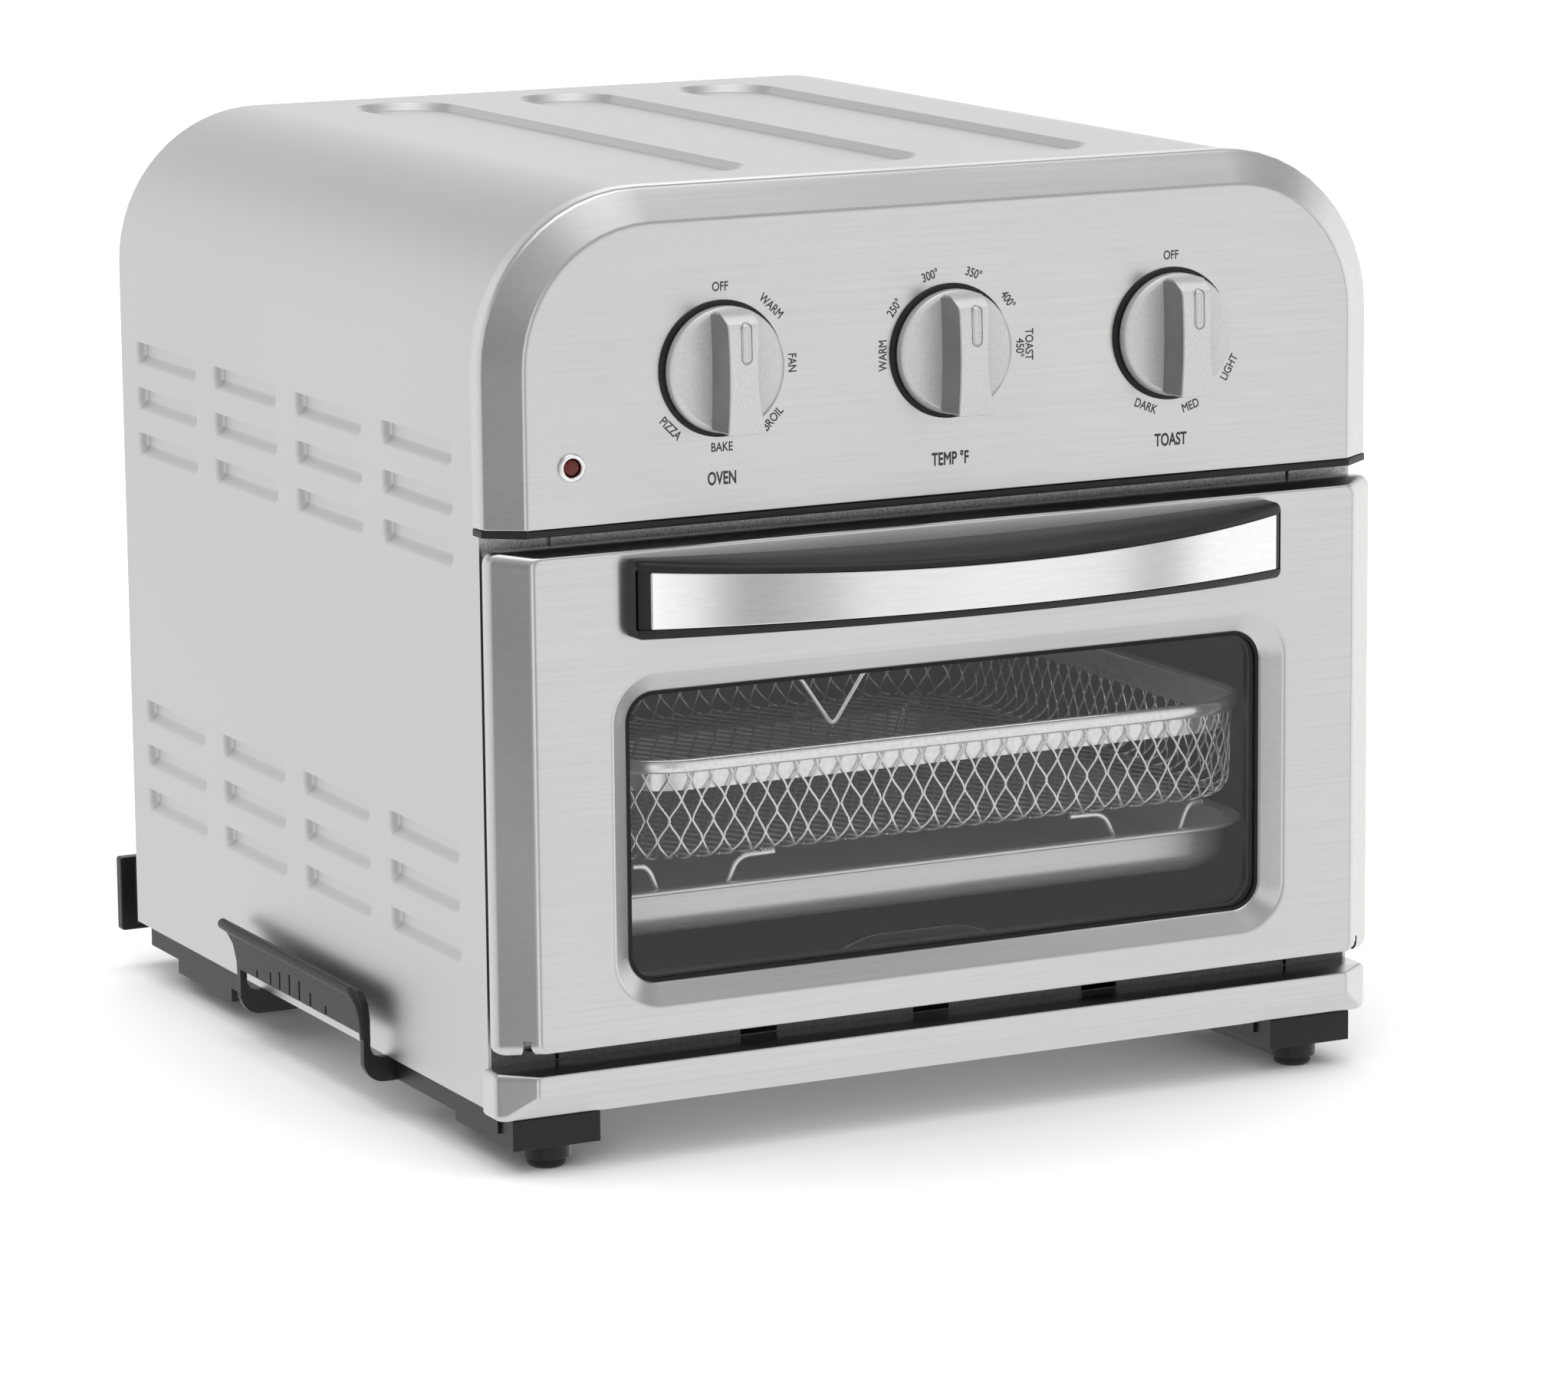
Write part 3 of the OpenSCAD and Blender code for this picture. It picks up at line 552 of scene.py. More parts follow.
def make_door_glass():
    """Dark tinted glass; its polish varies a little, as wiped glass does."""
    glass = Surface("tinted glass", grey(0.02), 0.0, 0.03, Alpha=0.09, IOR=3.0)
    wiped = glass.noise((16, 16, 60), 3)
    glass.spread(wiped, 0.02, 0.06)
    glass.tint(wiped, grey(0.018), grey(0.024))
    return glass


def make_print_ink():
    ink = Surface("printed ink", grey(0.03), 0.0, 0.55)
    ink.tint(ink.noise((3000, 3000, 3000), 2), grey(0.02), grey(0.045))
    return ink


MATERIALS = {
    "front_steel": make_front_steel().material,
    "handle_steel": make_handle_steel().material,
    "shell_steel": make_shell_steel().material,
    "galvanised_steel": make_galvanised_steel().material,
    "frame_steel": make_frame_steel().material,
    "black_plastic": moulded("black plastic", 0.011, 0.4, Specular_IOR_Level=0.3).material,
    "rubber": moulded("rubber", 0.01, 0.75, 0.04, 700, Specular_IOR_Level=0.3).material,
    "cavity_steel": make_cavity_steel().material,
    "heater_sheath": make_heater_sheath().material,
    "insulator_ceramic": make_ceramic().material,
    "bright_wire": polished("bright wire", 0.94, 0.2, metallic=0.75).material,
    "fan_aluminium": polished("fan aluminium", 0.72, 0.34, (900, 900, 200)).material,
    "shaft_steel": polished("turned steel", 0.62, 0.25, (200, 2400, 200)).material,
    "motor_iron": make_motor_iron().material,
    "control_housing": moulded("control housing", 0.6, 0.5, 0.03, 500).material,
    "bell_brass": polished("bell metal", 0.6, 0.2, (300, 300, 300), 0.2).material,
    "wire_sleeve": make_wire_sleeve().material,
    "knob_silver": make_knob_silver().material,
    "knob_inlay": moulded("knob inlay", 0.14, 0.38, 0.01, 2200).material,
    "chrome_ring": polished("chrome", 0.88, 0.07, (400, 400, 400)).material,
    "red_lens": make_red_lens().material,
    "lamp_glass": make_lamp_glass().material,
    "door_glass": make_door_glass().material,
    "pan_steel": polished("pan steel", 0.86, 0.4, (30, 900, 1400), metallic=0.75).material,
    "print_ink": make_print_ink().material,
}


# ---------------------------------------------------------------- outer shell

LOUVRE_LENGTH = 55.5
LOUVRE_HEIGHT = 8.3
LOUVRE_DEPTH = 2.6
LOUVRE_RAMP = 3.9
LOUVRE_END = 3.4
LOUVRE_COLUMNS = [19.5 + 71.5 * i for i in range(4)]
LOUVRE_TOPS = [top - 15.8 * row for top in (228.3, 102.3) for row in range(3)]


def louvre_depth(along, below):
    """How deep the sheet is pressed in, at a distance along a louvre and below its slit."""
    ends = ease(along / LOUVRE_END) * ease((LOUVRE_LENGTH - along) / LOUVRE_END)
    climb = min(1, max(0, (LOUVRE_HEIGHT - below) / LOUVRE_RAMP))
    return LOUVRE_DEPTH * ends * (0.6 * climb + 0.4 * ease(climb))


def side_sheet(sign):
    """One side of the shell: a grid whose lines run through every louvre, split along the slits."""
    along = [0, 0.7, 1.4, 2.1, 2.8, LOUVRE_END, LOUVRE_LENGTH / 2]
    along = along + [LOUVRE_LENGTH - a for a in reversed(along[:-1])]
    below = [0, 2.2, 4.4, 4.8, 5.5, 6.3, 7.1, 7.7, LOUVRE_HEIGHT]
    ys = sorted({0, SHELL_DEPTH, *(start + a for start in LOUVRE_COLUMNS for a in along)})
    zs = sorted({SHELL_BOTTOM, SHELL_TOP - CORNER_R, *(top - b for top in LOUVRE_TOPS for b in below)})

    def louvre_at(y, z):
        for start in LOUVRE_COLUMNS:
            for top in LOUVRE_TOPS:
                spot = y - start, top - z
                if -1e-6 < spot[0] < LOUVRE_LENGTH + 1e-6 and -1e-6 < spot[1] < LOUVRE_HEIGHT + 1e-6:
                    return spot
        return None

    verts, index = [], {}

    def corner(y, z, pressed):
        spot = louvre_at(y, z) if pressed else None
        depth = louvre_depth(*spot) if spot else 0
        key = (round(y, 3), round(z, 3), round(depth, 3))
        if key not in index:
            index[key] = len(verts)
            verts.append((sign * (SHELL_HALF - depth), y, z))
        return index[key]

    faces = []
    for y0, y1 in zip(ys, ys[1:]):
        for z0, z1 in zip(zs, zs[1:]):
            pressed = louvre_at((y0 + y1) / 2, (z0 + z1) / 2) is not None
            faces.append((corner(y0, z0, pressed), corner(y1, z0, pressed),
                          corner(y1, z1, pressed), corner(y0, z1, pressed)))
    return ys, (verts, faces)


def shell_corner(sign, ys):
    """The large bend between a side and the top."""
    loops = []
    for i in range(17):
        a = math.radians(90 * i / 16)
        x = sign * (SHELL_HALF - CORNER_R + CORNER_R * math.cos(a))
        z = SHELL_TOP - CORNER_R + CORNER_R * math.sin(a)
        loops.append([(x, y, z) for y in ys])
    return loft(loops, closed=False)


def stadium(cx, cy, half, reach, steps=14):
    """Outline in X and Y of a long round-ended channel."""
    ring = []
    for end, start in ((1, 0), (-1, 180)):
        for i in range(steps + 1):
            a = math.radians(start + 180 * i / steps)
            ring.append((cx + half * math.cos(a), cy + end * reach + half * math.sin(a)))
    return ring


CHANNEL_DEPTH, CHANNEL_HALF, CHANNEL_REACH, CHANNEL_Y = 2.5, 18, 112, 156


def build_outer_shell():
    parts = []
    for sign in (-1, 1):
        ys, side = side_sheet(sign)
        parts += [side, shell_corner(sign, ys)]
    flat = SHELL_HALF - CORNER_R
    rim = [(flat, y) for y in ys] + [(-flat, y) for y in reversed(ys)]
    rings = []
    rows = soften([(0.8, 0), (0, 0), (-1.9, -CHANNEL_DEPTH), (-4.2, -CHANNEL_DEPTH)], 0.4, 3)
    for x in (-62, 0, 62):
        loops = []
        for grow, z in rows:
            ring = stadium(x, CHANNEL_Y, CHANNEL_HALF + grow, CHANNEL_REACH)
            loops.append([(px, py, SHELL_TOP + z) for px, py in ring])
        parts.append(floored(loops))
        rings.append([(px, py) for px, py, _ in loops[0]])
    parts.append(flat_fill(rim, rings, lambda x, y: (x, y, SHELL_TOP)))
    verts, faces = join_parts(parts)
    shell = add_mesh("outer_shell_sheet", verts, faces, inside=(0, SHELL_DEPTH / 2, 150))
    return dress(shell, "chassis", "shell_steel", ["outer_shell"], sheet=SHEET, crease=38)


# ---------------------------------------------------------------- pressed front parts

def ring_at(row):
    """A closed loop of points from a row of y, half width, bottom, top and the two corner radii."""
    y, half, low, high, r_low, r_high = row
    return [(x, y, z) for x, z in outline(half, low, high, r_low, r_high)]


def pressed_cap(name, rows, holes, reach, steps=4, rims=()):
    """A pressed cap: soft-edged side walls from the rows, and a flat face with holes in it."""
    rows = soften(rows, reach, steps)
    loops = [ring_at(row) for row in rows]
    face_y = rows[-1][0]
    outer = [(x, z) for x, _, z in loops[-1]]
    parts = [loft(loops), flat_fill(outer, holes, lambda x, z: (x, face_y, z)), *rims]
    verts, faces = join_parts(parts)
    return add_mesh(name, verts, faces, inside=(0, 40, (rows[0][2] + rows[0][3]) / 2))


def build_control_panel():
    low, high, face = PANEL_LO.z, PANEL_HI.z, PANEL_LO.y
    half = PANEL_HI.x
    rows = [(0, half, low, high, 0.6, 54),
            (-6.5, half, low, high, 0.6, 54),
            (face, FLAT_HALF, low, high - 10.6, 0.6, 43),
            (face, FLAT_HALF - 6, low + 3, high - 16.6, 0.6, 38)]
    holes = [circle(x, KNOB_Z, 4.5) for x in KNOB_X.values()] + [circle(LAMP_X, LAMP_Z, 3.6)]
    panel = pressed_cap("control_panel_cap", rows, holes, 1.7)
    return dress(panel, "chassis", "front_steel", ["control_panel"], sheet=1.0, crease=50)


def build_lower_trim():
    half, low, high, face = TRIM_HI.x, TRIM_LO.z, TRIM_HI.z, TRIM_LO.y
    rows = [(0, half, low + 0.2, high, 2.2, 2.2),
            (-9, half, low + 0.2, high, 2.2, 2.2),
            (-11, half - 2.9, low + 0.3, high - 0.15, 2.2, 2.2),
            (face, FLAT_HALF, 26, 33.2, 1.4, 1.6),
            (face, FLAT_HALF - 2.5, 28.5, 30.8, 0.8, 0.8)]
    trim = pressed_cap("lower_trim_bar", rows, [], 1.3)
    return dress(trim, "chassis", "front_steel", ["lower_trim"], sheet=1.0, crease=60)


def window_ring(grow, y):
    return [(x, y, z) for x, z in outline(WINDOW_HALF + grow, WINDOW_LOW - grow, WINDOW_HIGH + grow,
                                          WINDOW_R + grow * 0.9, WINDOW_R + grow * 0.9)]


def build_door_panel():
    half, low, high, face = DOOR_HI.x, DOOR_LO.z, DOOR_HI.z, DOOR_LO.y
    rows = [(-6.5, half, low, high, 4, 4),
            (-10, half, low, high, 4, 4),
            (face, FLAT_HALF, low + 1.5, high - 1.5, 3.2, 3.2),
            (face, FLAT_HALF - 4, low + 5.5, high - 5.5, 2, 2)]
    sill = soften([(9.2, face), (7.2, face), (0, -14), (0, -13.2)], 1.1, 4)
    loops = [window_ring(grow, y) for grow, y in sill]
    hole = [(x, z) for x, _, z in loops[0]]
    screws = [circle(side * SCREW_X, SCREW_Z, 2.05, 20) for side in (-1, 1)]
    door = pressed_cap("door_outer_panel", rows, [hole, *screws], 1.8, rims=[loft(loops)])
    slots = [block(x - 2.2, x + 2.2, -17, 1, 30, 45) for x in (-BRACKET_X, BRACKET_X)]
    return dress(door, "door", "front_steel", ["door_panel"], sheet=0.8, crease=60, slots=slots)


def build_divider_strip():
    low, high = cad_box("divider_strip")
    half = high.x
    section = soften([(low.z, -6.5), (low.z, low.y + 0.2), (high.z, low.y + 0.2), (high.z, -6.5)], 0.6, 3)
    loops = []
    for z, y in section:
        shrink = max(0, (-6.5 - y)) / 9.0
        edge = half - shrink * (half - FLAT_HALF)
        outline = [(-half, 0), (-half, -6.5), (-edge, y), (edge, y), (half, -6.5), (half, 0)]
        loops.append([(px, py, z) for px, py in outline])
    strip = add_mesh("divider_strip_moulding", *capped(loops))
    return dress(strip, "chassis", "black_plastic", ["divider_strip"], bevel=0.3, crease=30)


# ---------------------------------------------------------------- door handle

HANDLE_BOW_R = 245.06
HANDLE_BOW_Y = 189.66
HANDLE_HALF = HANDLE_HI.x
HANDLE_BACK = DOOR_LO.y
HANDLE_DECK = 187.5


def bow_front(x, inset=0):
    """Y of the handle's bowed face, or of a surface set in from it."""
    return HANDLE_BOW_Y - math.sqrt((HANDLE_BOW_R - inset) ** 2 - x * x)


def handle_edges(x, low=0, high=0, slim=2.9):
    """Bottom and top of the handle's face at x, each drawn in by an amount."""
    drawn = slim * (1 - (x / HANDLE_HALF) ** 2)
    return HANDLE_LO.z + low + drawn, HANDLE_HI.z - high - drawn


def handle_section(x, hollow, tuck):
    """The handle's cross-section at x, open below where it is hollow, tucked in at the ends."""
    low, high = handle_edges(x)
    plate_low, plate_high = handle_edges(x, 3.2, 3.0, 2.2)
    low, high = low + tuck, high - tuck
    front = bow_front(x) + tuck
    step = front + 1.0
    lip = [(0.1, 2.2), (0.5, 1.1), (1.3, 0.4), (2.6, 0.0)]
    top = [(front + back, high - down) for back, down in reversed(lip)]
    face = [(front, plate_high), (step, plate_high), (step, plate_low), (front, plate_low)]
    under = [(front + back, low + up) for back, up in lip]
    if hollow:
        inner = [(front + 9, low), (front + 9, HANDLE_DECK), (HANDLE_BACK, HANDLE_DECK)]
    else:
        inner = [(front + 9, low), (HANDLE_BACK - 1, low), (HANDLE_BACK, low)]
    return [(x, y, z) for y, z in [(HANDLE_BACK, high), *top, *face, *under, *inner]]


def build_door_handle():
    hollow_end = HANDLE_HALF - 20
    reach = HANDLE_HALF - 1.6
    loops = [handle_section(-HANDLE_HALF, False, 1.2), handle_section(-HANDLE_HALF + 0.5, False, 0.4)]
    for i in range(61):
        x = -reach + 2 * reach * i / 60
        last = abs(loops[-1][0][0])
        if last > hollow_end >= abs(x):
            loops += [handle_section(-hollow_end, False, 0), handle_section(-hollow_end, True, 0)]
        if last <= hollow_end < abs(x):
            loops += [handle_section(hollow_end, True, 0), handle_section(hollow_end, False, 0)]
        loops.append(handle_section(x, abs(x) < hollow_end, 0))
    loops += [handle_section(HANDLE_HALF - 0.5, False, 0.4), handle_section(HANDLE_HALF, False, 1.2)]
    handle = add_mesh("door_handle_moulding", *capped(loops))
    return dress(handle, "door", "black_plastic", ["door_handle"], crease=35)


def build_handle_plate():
    """The bent steel strip let into the handle's face."""
    def section(x, tuck):
        low, high = handle_edges(x, 3.45, 3.25, 2.2)
        low, high = low + tuck, high - tuck
        front, back = bow_front(x) - 0.1 + tuck * 0.5, bow_front(x, 0.95)
        ring = [(front + 0.3, low), (front + 0.08, low + 0.12), (front, low + 0.4), (front, high - 0.4),
                (front + 0.08, high - 0.12), (front + 0.3, high), (back, high), (back, low)]
        return [(x, y, z) for y, z in ring]

    half = HANDLE_HALF - 3.3
    ends = [(-half, 0.4), (-half + 0.15, 0.1), (-half + 0.5, 0)]
    inner = [(-half + 0.5 + (2 * half - 1) * i / 72, 0) for i in range(1, 72)]
    stations = ends + inner + [(-x, tuck) for x, tuck in reversed(ends)]
    plate = add_mesh("handle_face_plate", *capped([section(x, tuck) for x, tuck in stations]))
    return dress(plate, "door", "handle_steel", ["handle_plate"], crease=50)


# ---------------------------------------------------------------- knobs and lamp

KNOB_R = 19.7
KNOB_BACK = -16.2
KNOB_FACE = -20.5
KNOB_TIP = -32.5
POINTER_X, POINTER_W = 0.4, 9.6


def grip_section(w):
    """Left and right half width, and Y of the front, of a knob's grip bar at height w above its axis."""
    t = w / 18.5
    left = 5.2 + 0.5 * t * t
    right = 4.6 + 0.9 * t * t + (1.9 * t * t if t < 0 else 0)
    front = KNOB_TIP + 0.6 * t * t + max(0, w - 15.2) * 1.5
    return left, right, front


def build_knob(control):
    axis = KNOB_X[control]
    rows = soften([(0.01, KNOB_FACE), (KNOB_R - 1.4, KNOB_FACE), (KNOB_R, KNOB_FACE + 0.9),
                   (KNOB_R, KNOB_BACK), (0.01, KNOB_BACK)], 0.5, 3)
    foot = KNOB_FACE + 0.3
    loops = []
    for i in range(25):
        w = -18.6 + 37.2 * i / 24
        left, right, front = grip_section(w)
        section = [(0.7 - left, foot), (0.7 - left, front + 1.0), (-left, front + 0.9), (0.1 - left, front),
                   (right - 0.3, front), (right, front + 0.6), (right + 0.9, foot)]
        loops.append([(axis + x, y, KNOB_Z + w) for x, y in section])
    parts = [lathe(rows, axis, KNOB_Z), capped(loops), pointer_ridge(axis)]
    knob = add_mesh(control + "_knob_body", *join_parts(parts))
    return dress(knob, control + "_control", "knob_silver", [control + "_knob"], bevel=0.35, crease=35)


def pointer_ring(axis, half, lift):
    """A long loop on the face of the grip, round the spot that points at the dial."""
    return [(axis + POINTER_X + px, grip_section(POINTER_W + pz)[2] + lift, KNOB_Z + POINTER_W + pz)
            for px, pz in stadium(0, 0, half, 4.6, 8)]


def pointer_ridge(axis):
    """The raised pill on the grip that points at the dial."""
    rows = [(1.35, 0.25), (1.35, -0.15), (1.0, -0.4), (0.65, -0.4), (0.45, -0.15)]
    return floored([pointer_ring(axis, half, lift) for half, lift in rows])


def build_pointer_shade_line(control):
    """The dark line round the pointer: a thin dark tube at the foot of the raised pill, painted shade for the
    crease round it.
    """
    ring = pointer_ring(KNOB_X[control], 1.75, -0.06)
    groove = add_mesh(control + "_pointer_shade_line", *tube(ring, 0.13, 6, closed=True))
    return dress(groove, control + "_control", "knob_inlay", crease=60)


def build_knob_inlay(control):
    """The dark strip let into the left flank of the grip."""
    foot = KNOB_FACE - 0.1
    loops = []
    for i in range(25):
        w = -17.9 + 35.8 * i / 24
        left, _, front = grip_section(w)
        section = [(-0.45, foot), (0.05, front + 1.0), (0.72, front + 1.05), (0.72, foot)]
        loops.append([(KNOB_X[control] - left + x, y, KNOB_Z + w) for x, y in section])
    inlay = add_mesh(control + "_knob_inlay_strip", *capped(loops))
    return dress(inlay, control + "_control", "knob_inlay", [control + "_inlay"],
                 bevel=0.12, crease=35, segments=2)


# Black rings on the panel behind the knobs: painted shade standing for the shadow gap round each knob.
def build_knob_shade_rings():
    face = PANEL_LO.y
    rows = soften([(4.5, face), (21.4, face), (21.2, face - 0.9), (4.5, face - 1.0)], 0.4, 3)
    rings = join_parts([lathe(rows, x, KNOB_Z) for x in KNOB_X.values()])
    return dress(add_mesh("knob_shade_rings", *rings), "chassis", "black_plastic", ["knob_bezels"], crease=35)


def build_indicator():
    face, lens_r = PANEL_LO.y, 2.5
    rim = soften([(3.6, face + 4), (3.6, face + 0.05), (4.5, face), (4.5, face - 0.8), (4.1, face - 1.4),
                  (3.1, face - 1.35), (2.75, face - 0.6), (2.75, face + 4)], 0.3, 3)
    bezel = add_mesh("indicator_ring", *lathe(rim, LAMP_X, LAMP_Z, 48))
    dress(bezel, "chassis", "chrome_ring", ["indicator_bezel"], crease=50)
    dome = [(lens_r, face + 4), (lens_r, face - 0.2)]
    for a in (math.radians(d) for d in range(15, 90, 15)):
        dome.append((lens_r * math.cos(a), face - 0.2 - 0.9 * math.sin(a)))
    dome.append((0.01, face - 1.1))
    lens = add_mesh("indicator_dome", *lathe(dome, LAMP_X, LAMP_Z, 48))
    dress(lens, "chassis", "red_lens", ["indicator_lens"], crease=50)


# ---------------------------------------------------------------- dial marks

DIALS = {
    "function": [("OFF", 0, 25.3), ("WARM", 44, 25.2), ("FAN", 90, 24.5), ("BROIL", 134, 24.6),
                 ("BAKE", 180, 24.6), ("PIZZA", 225, 24.8)],
    "temperature": [("WARM", -90, 23.6), ("250°", -53, 24.3), ("300°", -16, 24.9), ("350°", 20, 25.2),
                    ("400°", 55, 25.4), ("450°", 92, 25), ("TOAST", 90, 28.3)],
    "timer": [("OFF", 0, 25), ("LIGHT", 120, 25), ("MED", 163, 25), ("DARK", 202, 24.7)],
}
TITLES = {"function": "OVEN", "temperature": "TEMP °F", "timer": "TOAST"}
LETTER_HEIGHT = 2.75
TITLE_HEIGHT = 3.9
TITLE_DROP = 34.4
CAP_HEIGHT = 0.69


def letters(text, height, width, boldness, place, turn):
    """A flat word as a mesh, its middle at place, turned clockwise by turn degrees."""
    curve = bpy.data.curves.new(text, "FONT")
    curve.body = text
    curve.size = height * MM / CAP_HEIGHT
    curve.align_x = "CENTER"
    curve.align_y = "CENTER"
    curve.extrude = 0.01 * MM
    curve.bevel_depth = boldness * MM
    curve.bevel_resolution = 0
    word = put_in_scene(text, curve)
    spot = point(place[0], PANEL_LO.y - 0.02, place[1])
    word.matrix_world = (Matrix.Translation(spot) @ Matrix.Rotation(math.radians(turn), 4, "Y")
                         @ Matrix.Rotation(math.radians(90), 4, "X") @ Matrix.Diagonal((width, 1, 0.5, 1)))
    bpy.context.view_layer.update()
    graph = bpy.context.evaluated_depsgraph_get()
    mesh = bpy.data.meshes.new_from_object(word.evaluated_get(graph))
    mesh.transform(word.matrix_world)
    bpy.data.objects.remove(word)
    return mesh


def build_dial_marks(control):
    axis = KNOB_X[control]
    bm = bmesh.new()
    for text, angle, reach in DIALS[control]:
        a = math.radians(angle)
        lean = angle if abs(angle) < 100 else angle - 180
        place = (axis + reach * math.sin(a), KNOB_Z + reach * math.cos(a))
        bm.from_mesh(letters(text, LETTER_HEIGHT, 0.8, 0.07, place, lean))
    bm.from_mesh(letters(TITLES[control], TITLE_HEIGHT, 0.66, 0.15, (axis, KNOB_Z - TITLE_DROP), 0))
    mesh = bpy.data.meshes.new(control + "_dial_marks")
    bm.to_mesh(mesh)
    bm.free()
    marks = put_in_scene(control + "_dial_marks", mesh)
    mesh.materials.append(MATERIALS["print_ink"])
    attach(marks, "chassis")
    return marks


# ---------------------------------------------------------------- cooking set

def tray_ring(half, y0, y1, r, z, steps=8):
    """A level loop with rounded corners."""
    ring = outline(half, y0, y1, r, r, steps)
    return [(x, y, z) for x, y in ring]


def build_baking_pan():
    half, rim, floor = PAN_HI.x, PAN_HI.z, PAN_LO.z
    wall, bend_r = 5.8, 6.5
    rows = soften([(1.3, rim - 1.5), (0.2, rim - 1.4), (0.1, rim - 0.1), (1.6, rim), (5.4, rim - 0.4),
                   (wall, rim - 5)], 1.0, 3)
    for a in (math.radians(10 * i) for i in range(10)):
        rows.append((wall + bend_r * (1 - math.cos(a)), floor + bend_r * (1 - math.sin(a))))
    rows.append((30, floor))
    loops = [tray_ring(half - inset, PAN_LO.y + inset, PAN_HI.y - inset, max(8, 26 - inset * 0.6), z)
             for inset, z in rows]
    pan = add_mesh("baking_pan_sheet", *floored(loops))
    return dress(pan, "baking_set", "pan_steel", ["baking_pan"], sheet=0.7, crease=50)


BASKET_HALF = (BASKET_HI.x - BASKET_LO.x) / 2 - 5
BASKET_MIDDLE = BASKET_HI.x - BASKET_HALF
WIRE_R = 0.44
STRAND = 3.75
LEVEL = 6.6


def rounded_walk(half, y0, y1, r):
    """Turns a distance along a rounded rectangle into a point and its outward direction."""
    straight_x, straight_y, arc = 2 * (half - r), (y1 - y0) - 2 * r, math.pi * r / 2
    total = 2 * (straight_x + straight_y + 2 * arc)
    legs = [((-half + r, y0), (1, 0), (0, -1), straight_x, (half - r, y0 + r)),
            ((half, y0 + r), (0, 1), (1, 0), straight_y, (half - r, y1 - r)),
            ((half - r, y1), (-1, 0), (0, 1), straight_x, (-half + r, y1 - r)),
            ((-half, y1 - r), (0, -1), (-1, 0), straight_y, (-half + r, y0 + r))]

    def walk(s):
        s %= total
        for start, along, out, length, centre in legs:
            if s < length:
                return (start[0] + along[0] * s, start[1] + along[1] * s), out
            s -= length
            if s < arc:
                a = s / r
                turn = [o * math.cos(a) + f * math.sin(a) for o, f in zip(out, along)]
                return (centre[0] + r * turn[0], centre[1] + r * turn[1]), turn
            s -= arc
        return legs[0][0], legs[0][2]
    return walk, total


def zigzag(level):
    """Side step of a strand between its knots, softly bent at each knot."""
    phase = level % 2
    t = phase if phase <= 1 else 2 - phase
    soft = t * t * (3 - 2 * t)
    return 0.55 * t + 0.45 * soft - 0.5


def build_basket_mesh():
    """Expanded wire: zigzag strands that meet their neighbours at knots, on the walls and the floor."""
    y0, y1 = BASKET_LO.y + 2.5, BASKET_HI.y - 2.5
    half, middle = BASKET_HALF - 2.5, BASKET_MIDDLE
    top, floor = BASKET_HI.z - 0.3, BASKET_LO.z + 0.5
    walk, total = rounded_walk(half, y0, y1, 28)
    count = 2 * round(total / STRAND / 2)
    step = total / count
    parts = []
    turn_r = 6.0
    drop = top - floor - turn_r
    reach = drop + turn_r * math.pi / 2
    samples = round(reach / LEVEL * 4)
    for k in range(count):
        path = []
        for i in range(samples + 1):
            d = reach * i / samples
            sway = zigzag(d / LEVEL) * (1 if k % 2 else -1)
            sway += 0.09 * math.sin(9.1 * (k // 2) + 2.3 * d / LEVEL)
            (px, py), (ox, oy) = walk((k + sway) * step)
            if d <= drop:
                inward, z = 0.02 * d, top - d
            else:
                a = (d - drop) / turn_r
                inward, z = 0.02 * drop + turn_r * (1 - math.cos(a)), floor + turn_r - turn_r * math.sin(a)
            path.append((middle + px - ox * inward, py - oy * inward, z))
        parts.append(tube(path, WIRE_R, 5))
    inner_x, inner_y0, inner_y1 = half - turn_r - 0.6, y0 + turn_r + 0.6, y1 - turn_r - 0.6
    lanes = round(2 * inner_x / STRAND)
    levels = round((inner_y1 - inner_y0) / LEVEL)
    for k in range(lanes + 1):
        x0 = -inner_x + 2 * inner_x * k / lanes
        path = []
        for i in range(levels * 2 + 1):
            y = inner_y0 + (inner_y1 - inner_y0) * i / (levels * 2)
            x = x0 + zigzag(i / 2) * STRAND * (1 if k % 2 else -1)
            cut = 22 - math.sqrt(max(0, 22 ** 2 - max(0, 22 - min(y - inner_y0, inner_y1 - y)) ** 2))
            if abs(x) <= inner_x - cut + 0.5:
                path.append((middle + x, y, floor))
        if len(path) > 2:
            parts.append(tube(path, WIRE_R, 4))
    verts, faces = join_parts(parts)
    mesh = bpy.data.meshes.new("basket_wire_mesh")
    mesh.from_pydata([point(*v) for v in verts], [], faces)
    wires = put_in_scene("basket_wire_mesh", mesh)
    mesh.materials.append(MATERIALS["bright_wire"])
    mesh.polygons.foreach_set("use_smooth", [True] * len(mesh.polygons))
    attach(wires, "baking_set")
    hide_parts("basket")
    return wires


def build_basket_rim():
    """The folded band round the basket's mouth, with the strip that clamps the mesh inside it."""
    y0, y1, top = BASKET_LO.y, BASKET_HI.y, BASKET_HI.z
    rows = soften([(2.6, top - 4.9), (0.7, top - 4.6), (0, top - 2.4), (0.7, top - 0.3), (2.4, top),
                   (3.9, top - 0.8), (4.2, top - 10.6)], 0.9, 5)
    loops = []
    for inset, z in rows:
        ring = tray_ring(BASKET_HALF - inset, y0 + inset, y1 - inset, 30 - inset, z, 14)
        loops.append([(BASKET_MIDDLE + px, py, pz) for px, py, pz in ring])
    rim = add_mesh("basket_rim_band", *loft(loops))
    return dress(rim, "baking_set", "bright_wire", sheet=0.4, crease=50)


